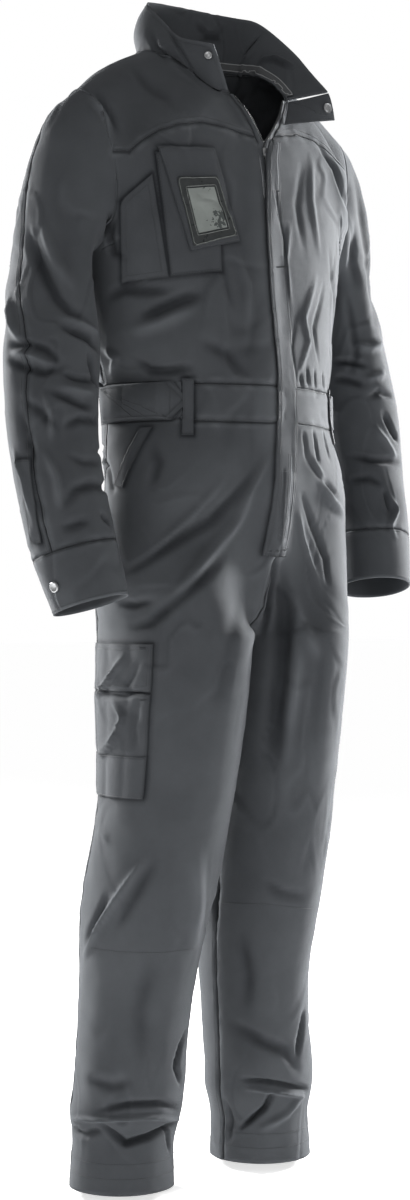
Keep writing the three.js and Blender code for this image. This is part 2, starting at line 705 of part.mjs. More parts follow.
const skin = [
  panel("yoke", 4, YOKE_COLUMNS, (r, c) => yokePoint(c, r / 4), { flip: true }),
  panel("back", BACK_RINGS.length - 1, 2 * BACK_COLUMNS, backPoint, { flip: true }),
  panel("collar", 3, YOKE_COLUMNS, (r, c) => collarPoint(c, r / 3), { thickness: COLLAR_CLOTH }),
  ...SIDES.flatMap(bodyPanels),
  ...SIDES.flatMap(sleevePanels),
  ...SIDES.map(frontBand),
  backBand,
];
foldCloth(skin);

const panels = Object.fromEntries(skin.map((grid) => [grid.name, grid]));
for (const grid of skin) {
  if (grid !== backBand) add(grid.name, clothWall(grid), finish(grid.colour));
}
add("waistband_back", clothWall(gatheredBand()), finish(TWILL));

// Finds the place on the named panels that a ray from outside meets first
const ray = new THREE.Ray();
const rayHit = new THREE.Vector3();

function touch(near, heading, names) {
  ray.direction.copy(heading).normalize();
  ray.origin.copy(near).addScaledVector(ray.direction, -120);
  let best = null;
  for (const name of names) {
    const grid = panels[name];
    for (const face of triangles(grid)) {
      const [a, b, c] = face.map((i) => grid.points[i]);
      if (!ray.intersectTriangle(a, b, c, false, rayHit)) continue;
      const distance = rayHit.distanceTo(ray.origin);
      if (best && distance >= best.distance) continue;
      const share = THREE.Triangle.getBarycoord(rayHit, a, b, c, new THREE.Vector3());
      const normal = new THREE.Vector3();
      face.forEach((i, k) => normal.addScaledVector(grid.normals[i], share.getComponent(k)));
      best = { distance, point: rayHit.clone(), normal: normal.normalize() };
    }
  }
  if (!best) throw new Error(`nothing under ${near.toArray()}`);
  return best;
}

const at = (x, y, z) => new THREE.Vector3(x, y, z);

// A piece of cloth laid on the panels between four corners: top left, top right, foot right
// and foot left, seen from outside. lift is its distance from the panel.
function laid(name, corners, heading, on, options) {
  const { across, down, lift = 0.9, thickness = POCKET_CLOTH, colour = TWILL_SHADE } = options;
  const found = [];
  for (let r = 0; r <= down; r += 1) {
    for (let c = 0; c <= across; c += 1) {
      const upper = corners[0].clone().lerp(corners[1], c / across);
      const lower = corners[3].clone().lerp(corners[2], c / across);
      found.push(touch(upper.lerp(lower, r / down), heading, on));
    }
  }
  const grid = { name, rowCount: down, columnCount: across, flip: false };
  const inner = found.map(({ point, normal }) => point.clone().addScaledVector(normal, lift));
  const outer = inner.map((point, i) => point.clone().addScaledVector(found[i].normal, thickness));
  return add(name, wall(grid, outer, inner), finish(colour));
}

// A free piece of cloth with the outside of the grid given
function free(name, down, across, pointAt, thickness, colour, flip = false) {
  const grid = panel(name, down, across, pointAt, { flip, thickness });
  shareNormals([grid]);
  const inner = grid.points.map((point, i) => point.clone().addScaledVector(grid.normals[i], -thickness));
  return add(name, wall(grid, grid.points, inner), finish(colour));
}

const mirror = (sign, point) => at(sign * point.x, point.y, point.z);

// Waist tab and belt loop on each side
const TAB = { from: 100, to: 54.5, top: WAIST_TOP - 8, foot: WAIST_FOOT + 8, lift: 2.2 };
const LOOP = { from: 50.2, to: 44.8, top: WAIST_TOP + 4, foot: WAIST_FOOT - 19, lift: 1.4 };

function onWaist(name, sign, size, across, down, on) {
  const [left, right] = sign < 0 ? [size.from, size.to] : [size.to, size.from];
  const corner = (angle, z) => hipPoint(sign, angle, z);
  const middle = corner((left + right) / 2, size.top);
  const upper = [corner(left, size.top), corner(right, size.top)];
  const corners = [...upper, corner(right, size.foot), corner(left, size.foot)];
  const heading = at(-middle.x, -middle.y * 1.2, 0);
  laid(name, corners, heading, on, { across, down, lift: size.lift, thickness: 1.8 });
}

for (const { name, sign } of SIDES) {
  const band = ["waistband_back", `waistband_${name}`];
  onWaist(`waist_tab_${name}`, sign, TAB, 8, 1, band);
  onWaist(`belt_loop_${name}`, sign, LOOP, 2, 4, [...band, `front_${name}`, `front_leg_${name}`]);
}

// Storm flap: its free and sewn edges and how far it stands off, by height
const STORM_FLAP = table(
  ["z", "free", "sewn", "lift"],
  [-130, 9, 30, 4.6],
  [-150, -3, 20, 6.6],
  [-192, -10, 17, 6.0],
  [-230, -14, 17, 4.0],
  [-279, -18, 20, 2.8],
  [-345, -20, 20, 2.4],
  [WAIST_TOP, -19, 18, 2.4],
  [-560, -21, 18, 2.6],
  [-620, -22, 18, 4.6],
  [-673, -24, 14, 4.6],
);
const STORM_ROWS = 24;
const CENTRE_PANELS = SIDES.flatMap(({ name }) =>
  [`front_${name}`, `zip_${name}`, `waistband_${name}`, `front_leg_${name}`]).concat("yoke");

function stormFlap() {
  const top = STORM_FLAP[0].z;
  const foot = STORM_FLAP[STORM_FLAP.length - 1].z;
  const inner = [];
  const outer = [];
  for (let r = 0; r <= STORM_ROWS; r += 1) {
    const z = mix(top, foot, r / STORM_ROWS);
    const read = (column) => sample(STORM_FLAP, "z", z, column);
    for (let c = 0; c <= 4; c += 1) {
      const x = mix(read("free"), read("sewn"), c / 4);
      const { point, normal } = touch(at(x, -140, z), at(0, 1, 0), CENTRE_PANELS);
      inner.push(point.clone().addScaledVector(normal, read("lift")));
      outer.push(point.clone().addScaledVector(normal, read("lift") + CLOTH));
    }
  }
  const grid = { rowCount: STORM_ROWS, columnCount: 4, flip: false };
  add("storm_flap", wall(grid, outer, inner), finish(TWILL));
}
stormFlap();

// The flap's upper end, folded out over the left front below the collar
const FLAP_TOP = [at(70, -80, -68), at(122, -108, -54), at(129, -107, -87), at(50, -92, -101)];
function flapTopPoint(row, column) {
  const upper = FLAP_TOP[0].clone().lerp(FLAP_TOP[1], column / 5);
  const point = upper.lerp(FLAP_TOP[3].clone().lerp(FLAP_TOP[2], column / 5), row / 2);
  point.y -= 4 * Math.sin((Math.PI * column) / 5);
  return point;
}
free("flap_top", 2, 5, flapTopPoint, 1.8, TWILL_SHADE);

// Neck tape, inside the foot of the collar
function neckTapePoint(row, column) {
  const collar = panels.collar;
  const inside = (r) => {
    const i = index(collar, r, column);
    return collar.points[i].clone().addScaledVector(collar.normals[i], -COLLAR_CLOTH * collar.mitres[i]);
  };
  const normal = collar.normals[index(collar, 1, column)];
  const point = inside(0).lerp(inside(1), mix(0.56, 0.1, row));
  return point.addScaledVector(normal, -0.8);
}
const tape = panel("neck_tape", 1, YOKE_COLUMNS - 2, (r, c) => neckTapePoint(r, c + 1));
const tapeInner = tape.points.map((point, i) => {
  const normal = panels.collar.normals[index(panels.collar, 1, 1 + (i % (YOKE_COLUMNS - 1)))];
  return point.clone().addScaledVector(normal, -0.9);
});
add("neck_tape", wall({ ...tape, flip: true }, tape.points, tapeInner), finish(0x9a9da0));

// Chest pocket on the right front, and the badge flap with its clear window
const CHEST = at(0.5, 0.86, 0);
const RIGHT_CHEST = ["front_right", "yoke"];
const CHEST_POCKET = [at(-199, -51, -227), at(-168, -77, -192), at(-149, -88, -322), at(-190, -44, -328)];
const BADGE_POCKET = [at(-164, -79, -164), at(-85, -100, -158), at(-84, -117, -311), at(-147, -90, -321)];
const BADGE_FLAP = [at(-162, -80, -157), at(-85, -101, -152), at(-57, -119, -271), at(-124, -100, -289)];
const BADGE = { lift: 3.2, cloth: 1.4, clear: 0.5, frame: 1.6, pane: 0.9, bar: 0.15 };
laid("chest_pocket", CHEST_POCKET, CHEST, RIGHT_CHEST, { across: 4, down: 7, lift: 1.2 });
laid("badge_pocket", BADGE_POCKET, CHEST, RIGHT_CHEST, { across: 5, down: 8 });
laid("badge_flap", BADGE_FLAP, CHEST, RIGHT_CHEST, {
  across: 5, down: 8, lift: BADGE.lift, thickness: BADGE.cloth, colour: TWILL,
});

const BADGE_EDGE = [at(-141, -92, -197), at(-87, -106, -191), at(-63, -118, -265), at(-121, -102, -283)];
function inBadge(u, v) {
  return BADGE_EDGE[0].clone().lerp(BADGE_EDGE[1], u).lerp(BADGE_EDGE[3].clone().lerp(BADGE_EDGE[2], u), v);
}

function badgeLoop(inset, lift) {
  const low = inset;
  const high = 1 - inset;
  const edges = [
    [low, low, high, low], [high, low, high, high], [high, high, low, high], [low, high, low, low],
  ];
  return edges.flatMap(([u0, v0, u1, v1]) => [0, 0.25, 0.5, 0.75].map((t) => {
    const { point, normal } = touch(inBadge(mix(u0, u1, t), mix(v0, v1, t)), CHEST, RIGHT_CHEST);
    return point.addScaledVector(normal, lift);
  }));
}

// A closed hoop through four loops of points, in order round its section
function hoop(loops) {
  const count = loops[0].length;
  const faces = [];
  loops.forEach((_, k) => {
    const next = ((k + 1) % loops.length) * count;
    for (let i = 0; i < count; i += 1) {
      const j = (i + 1) % count;
      faces.push([k * count + i, next + j, k * count + j], [k * count + i, next + i, next + j]);
    }
  });
  return solid(loops.flat(), faces);
}

const badgeFoot = BADGE.lift + BADGE.cloth + BADGE.clear;
add("badge_frame", hoop([
  badgeLoop(0, badgeFoot),
  badgeLoop(0, badgeFoot + BADGE.frame),
  badgeLoop(BADGE.bar, badgeFoot + BADGE.frame),
  badgeLoop(BADGE.bar, badgeFoot),
]), finish(TRIM, 0.4));
const paneInset = BADGE.bar + 0.015;
const paneCorners = [[0, 0], [1, 0], [1, 1], [0, 1]].map(([u, v]) =>
  inBadge(mix(paneInset, 1 - paneInset, u), mix(paneInset, 1 - paneInset, v)));
laid("badge_window", paneCorners, CHEST, RIGHT_CHEST, {
  across: 4, down: 4, lift: badgeFoot, thickness: BADGE.pane, colour: 0x9fa8a4,
});

// The right leg read by column, counted on past the side seam, and by height
function legSpot(column, z) {
  const onFront = column <= FRONT_COLUMNS;
  const grid = panels[onFront ? "front_leg_right" : "back_leg_right"];
  const u = onFront ? column : column - FRONT_COLUMNS;
  const c = Math.min(Math.floor(u), grid.columnCount - 1);
  const r = LEG_ROWS.findIndex((height, i) => height >= z && z >= LEG_ROWS[i + 1]);
  const t = (LEG_ROWS[r] - z) / (LEG_ROWS[r] - LEG_ROWS[r + 1]);
  const read = (list) => {
    const upper = list[index(grid, r, c)].clone().lerp(list[index(grid, r, c + 1)], u - c);
    return upper.lerp(list[index(grid, r + 1, c)].clone().lerp(list[index(grid, r + 1, c + 1)], u - c), t);
  };
  return { point: read(grid.points), normal: read(grid.normals).normalize() };
}

function between(from, to, stops) {
  const inside = stops.filter((stop) => stop > Math.min(from, to) && stop < Math.max(from, to));
  return [from, ...inside, to];
}

// A piece that lies on the right leg, with its folds and creases at the leg's own
function onLeg(name, columns, heights, lift, thickness = POCKET_CLOTH) {
  const wholes = Array.from({ length: FRONT_COLUMNS + BACK_COLUMNS }, (_, i) => i).reverse();
  const across = between(columns[0], columns[1], wholes);
  const down = between(heights[0], heights[1], LEG_ROWS);
  const found = down.flatMap((z) => across.map((u) => legSpot(u, z)));
  const inner = found.map(({ point, normal }) => point.addScaledVector(normal, lift));
  const outer = inner.map((point, i) => point.clone().addScaledVector(found[i].normal, thickness));
  const grid = { rowCount: down.length - 1, columnCount: across.length - 1, flip: false };
  add(name, wall(grid, outer, inner), finish(TWILL_SHADE));
}

// Thigh pocket: a flap down to its opening, the pocket, and a second layer over its foot.
// columns run from its back edge to its front edge.
const THIGH = { columns: [11.6, 7.1], top: -787, opening: -848, gap: 3, panel: -930, foot: -985 };
onLeg("thigh_flap", THIGH.columns, [THIGH.top, THIGH.opening], 0.9);
onLeg("thigh_pocket", THIGH.columns, [THIGH.opening - THIGH.gap, THIGH.foot], 0.9);
onLeg("thigh_panel", THIGH.columns, [THIGH.panel, THIGH.foot], 2.7, 1);

// Welt of the slanted hand pocket
const WELT = [at(-166, -50, -511), at(-158, -66, -511), at(-186, -42, -588), at(-189, -25, -586)];
laid("side_pocket_welt", WELT, at(0.9, 0.45, 0), ["front_leg_right", "back_leg_right"],
  { across: 1, down: 8, lift: 2 });

// Sleeve plackets and snaps
function disc(name, spot, radius, height, clear, colour = METAL) {
  const geometry = new THREE.CylinderGeometry(radius * 0.86, radius, height, 16);
  const mesh = add(name, geometry, finish(colour, 0.35, 0.9));
  mesh.quaternion.setFromUnitVectors(at(0, 1, 0), spot.normal);
  mesh.position.copy(spot.point).addScaledVector(spot.normal, clear + height / 2);
}

for (const { name, sign } of SIDES) {
  const sleeve = [`sleeve_front_${name}`, `sleeve_back_${name}`];
  const inwards = at(-sign, 0, 0);
  const strip = [at(400, -14, -556), at(400, -34, -556), at(400, -48, -656), at(400, -28, -656)];
  const corners = (sign < 0 ? strip : [strip[1], strip[0], strip[3], strip[2]]).map((p) => mirror(sign, p));
  const raised = corners.map((p) => at(p.x * 0.8, p.y, p.z + wristRise(sign, p.z)));
  laid(`sleeve_placket_${name}`, raised, inwards, sleeve, { across: 2, down: 6, lift: 1.2 });
  const buttonZ = -710 + wristRise(sign, -710);
  const button = touch(at(sign * 310, -61, buttonZ), at(-sign * 0.85, 0.5, 0), [`cuff_${name}`]);
  disc(`cuff_snap_${name}`, button, 6.5, 2.6, 0.5);
}
disc("snap_stud", touch(at(-67, -71, -25), at(0.67, 0.74, 0), ["collar"]), 5, 3, 0.9);

const socket = flapTopPoint(1, 4.2);
const flapAcross = flapTopPoint(1, 5).sub(flapTopPoint(1, 4));
const flapFace = flapAcross.cross(flapTopPoint(0, 4).sub(flapTopPoint(2, 4)));
disc("snap_socket", { point: socket, normal: flapFace.normalize() }, 6.5, 2.2, 0.5);

// Zip slider at the foot of the V, with its pull lying down under the flap
const SLIDER = { z: -148, width: 9, length: 13, height: 2.6, clear: 0.5 };
const PULL = { width: 5, length: 24, height: 1.1 };
function plate(name, size, spot, lift, slide) {
  const outline = new THREE.Shape();
  const [w, l, cut] = [size.width / 2, size.length / 2, size.width / 4];
  outline.moveTo(-w + cut, -l).lineTo(w - cut, -l).lineTo(w, -l + cut).lineTo(w, l - cut);
  outline.lineTo(w - cut, l).lineTo(-w + cut, l).lineTo(-w, l - cut).lineTo(-w, -l + cut);
  const geometry = new THREE.ExtrudeGeometry(outline, { depth: size.height, bevelEnabled: false });
  geometry.translate(0, slide, 0);
  const mesh = add(name, geometry, finish(METAL, 0.35, 0.9));
  mesh.quaternion.setFromUnitVectors(at(0, 0, 1), spot.normal);
  mesh.position.copy(spot.point).addScaledVector(spot.normal, lift);
}
const sliderSpot = touch(at(0.01, -110, SLIDER.z), at(0, 1, 0), ["zip_left", "zip_right"]);
sliderSpot.normal.setX(0).normalize();
plate("zip_slider", SLIDER, sliderSpot, SLIDER.clear, 0);
plate("zip_pull", PULL, sliderSpot, SLIDER.clear + SLIDER.height + SEAM_GAP, -PULL.length / 2);

export default suit;
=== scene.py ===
import math

import bmesh
import bpy
import numpy as np
from mathutils import Matrix, Vector, noise
from mathutils.bvhtree import BVHTree
from mathutils.kdtree import KDTree


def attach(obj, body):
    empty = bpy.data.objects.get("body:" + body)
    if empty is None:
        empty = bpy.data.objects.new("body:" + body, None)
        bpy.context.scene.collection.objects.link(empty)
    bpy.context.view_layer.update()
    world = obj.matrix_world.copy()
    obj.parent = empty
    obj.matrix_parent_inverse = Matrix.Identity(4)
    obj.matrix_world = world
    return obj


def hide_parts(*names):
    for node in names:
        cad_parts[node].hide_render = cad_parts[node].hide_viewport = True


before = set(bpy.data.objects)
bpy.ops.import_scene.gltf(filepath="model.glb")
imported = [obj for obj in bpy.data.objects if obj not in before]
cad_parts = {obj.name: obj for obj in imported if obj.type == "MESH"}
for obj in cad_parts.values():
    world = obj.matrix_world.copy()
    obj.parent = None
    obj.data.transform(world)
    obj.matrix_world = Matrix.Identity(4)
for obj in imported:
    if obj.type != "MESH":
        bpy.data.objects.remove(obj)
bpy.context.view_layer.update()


# Camera: 3 m in front of the suit's right side, level with the middle of its length.
CAMERA_TURN = math.radians(-42)
CAMERA_AWAY = 3.0
VIEW_MIDDLE = Vector((0, 0, -0.731))
VIEW_AHEAD = Vector((-math.sin(CAMERA_TURN), math.cos(CAMERA_TURN), 0))
VIEW_RIGHT = Vector((math.cos(CAMERA_TURN), math.sin(CAMERA_TURN), 0))

camera = bpy.data.objects.new("camera", bpy.data.cameras.new("camera"))
bpy.context.scene.collection.objects.link(camera)
camera.data.sensor_fit = "VERTICAL"
camera.data.sensor_height = 24
camera.data.lens = 44.78
camera.data.shift_x = -0.0042
camera.location = VIEW_MIDDLE - VIEW_AHEAD * CAMERA_AWAY
camera.rotation_euler = (math.pi / 2, 0, CAMERA_TURN)
bpy.context.scene.camera = camera


# Main cloth: panels of dark grey cotton twill, cut flat and felled together into one skin.
# The panels are joined, smoothed and creased as one sheet, then parted again at their seams.
WALL = 0.0016
COLLAR_WALL = 0.0024
SEAM_WELD = 0.0007
SHARP = math.radians(52)
SMOOTHING = 3

# Each panel: a place inside it, the middle and radius that its weave wraps round, and its cut. A name
# that ends in _ stands for two panels. Its places are the left one's, and the right one's lie opposite.
PANELS = {
    "yoke": dict(inside=(0, 0, -0.2), wrap=None, cut=(0.5, 0.36), area=0.12),
    "front_": dict(inside=(0, 0, -0.3), wrap=(0, 0, 0.17), cut=(0.27, 0.36), area=0.078),
    "back": dict(inside=(0, 0, -0.3), wrap=(0, 0, 0.17), cut=(0.46, 0.36), area=0.135),
    "waistband_": dict(inside=(0, 0, -0.48), wrap=(0, 0, 0.17), cut=(0.135, 0.05), area=0.0067),
    "front_leg_": dict(inside=(0.1, 0, -1.1), wrap=(0.1, 0, 0.09), cut=(0.38, 1.0), area=0.317),
    "back_leg_": dict(inside=(0.1, 0, -1.1), wrap=(0.1, 0, 0.09), cut=(0.28, 1.02), area=0.203),
    "sleeve_front_": dict(inside=(0.26, 0, -0.4), wrap=(0.26, 0, 0.06), cut=(0.25, 0.6), area=0.109),
    "sleeve_back_": dict(inside=(0.26, 0, -0.4), wrap=(0.26, 0, 0.06), cut=(0.17, 0.62), area=0.075),
    "cuff_": dict(
        inside=(0.26, -0.05, -0.7), wrap=(0.26, -0.05, 0.055), cut=(0.33, 0.072), area=0.0236),
    "collar": dict(inside=(0, 0.01, 0), wrap=(0, 0, 0.09), cut=(0.5, 0.085), area=0.0335),
    "zip_": dict(inside=(0, 0.1, -0.4), wrap=(0, 0, 0.14), cut=(0.012, 0.6), area=0.0053),
}
SKIN = {}
for name, facts in PANELS.items():
    if name.endswith("_"):
        for side, across in (("right", -1), ("left", 1)):
            inside, wrap = ((across * place[0], *place[1:]) for place in (facts["inside"], facts["wrap"]))
            SKIN[name + side] = dict(facts, inside=inside, wrap=wrap)
    else:
        SKIN[name] = facts
SKIN["front_left"]["area"] = 0.079


def outer_side(node, inside):
    """The outer side of a node's wall: it is split where its edges turn, and looks away from inside."""
    bm = bmesh.new()
    bm.from_mesh(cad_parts[node].data)
    bmesh.ops.remove_doubles(bm, verts=bm.verts, dist=1e-5)
    left = set(bm.faces)
    sides = []
    while left:
        side = [left.pop()]
        for face in side:
            for edge in face.edges:
                if edge.calc_face_angle(math.pi) < SHARP:
                    side += [f for f in edge.link_faces if f in left]
                    left.difference_update(edge.link_faces)
        sides.append(side)
    sides.sort(key=lambda side: sum(f.calc_area() for f in side))

    def looks_out(side):
        return sum(f.normal.dot(f.calc_center_median() - Vector(inside)) * f.calc_area() for f in side)

    outer = set(max(sides[-2:], key=looks_out))
    bmesh.ops.delete(bm, geom=[f for f in bm.faces if f not in outer], context="FACES")
    return bm


def make_quads(bm):
    bmesh.ops.join_triangles(
        bm, faces=bm.faces, cmp_materials=True,
        angle_face_threshold=math.pi, angle_shape_threshold=math.pi)


def finished_mesh(obj):
    """The mesh of obj with its modifiers applied; obj itself is removed."""
    mesh = bpy.data.meshes.new_from_object(obj.evaluated_get(bpy.context.evaluated_depsgraph_get()))
    bpy.data.objects.remove(obj)
    return mesh


def show(name, mesh):
    obj = bpy.data.objects.new(name, mesh)
    bpy.context.scene.collection.objects.link(obj)
    bpy.context.view_layer.update()
    return obj


def smoothed(name, mesh, levels):
    obj = show(name, mesh)
    subdivision = obj.modifiers.new("smoothing", "SUBSURF")
    subdivision.levels = subdivision.render_levels = levels
    subdivision.boundary_smooth = "PRESERVE_CORNERS"
    subdivision.use_limit_surface = False
    bpy.context.view_layer.update()
    return finished_mesh(obj)


def coordinates(mesh, what="co"):
    values = np.empty(len(mesh.vertices) * 3)
    mesh.vertices.foreach_get(what, values)
    return values.reshape(-1, 3)


def move_vertices(mesh, places):
    mesh.vertices.foreach_set("co", places.ravel())
    mesh.update()


def point_tree(places):
    tree = KDTree(len(places))
    for i, place in enumerate(places):
        tree.insert(place, i)
    tree.balance()
    return tree


def surface_tree(places, faces):
    return BVHTree.FromPolygons([Vector(place) for place in places], faces)


cut_cloth = bmesh.new()
for number, (panel, facts) in enumerate(SKIN.items()):
    side = outer_side(panel, facts["inside"])
    for face in side.faces:
        face.material_index = number
    part = bpy.data.meshes.new(panel)
    side.to_mesh(part)
    side.free()
    cut_cloth.from_mesh(part)
bmesh.ops.remove_doubles(cut_cloth, verts=cut_cloth.verts, dist=SEAM_WELD)
faceted_tree = BVHTree.FromBMesh(cut_cloth)
make_quads(cut_cloth)
for face in cut_cloth.faces:
    face.smooth = True
skin = bpy.data.meshes.new("skin")
cut_cloth.to_mesh(skin)
cut_cloth.free()
for panel in SKIN:
    skin.materials.append(bpy.data.materials.new(panel))
skin = smoothed("skin", skin, SMOOTHING)
skin_flat = coordinates(skin)
skin_out = coordinates(skin, "normal")

skin_faces = [tuple(polygon.vertices) for polygon in skin.polygons]
uncreased_tree = surface_tree(skin_flat, skin_faces)
skin_panels = np.empty(len(skin.polygons), dtype=int)
skin.polygons.foreach_get("material_index", skin_panels)
panel_names = list(SKIN)

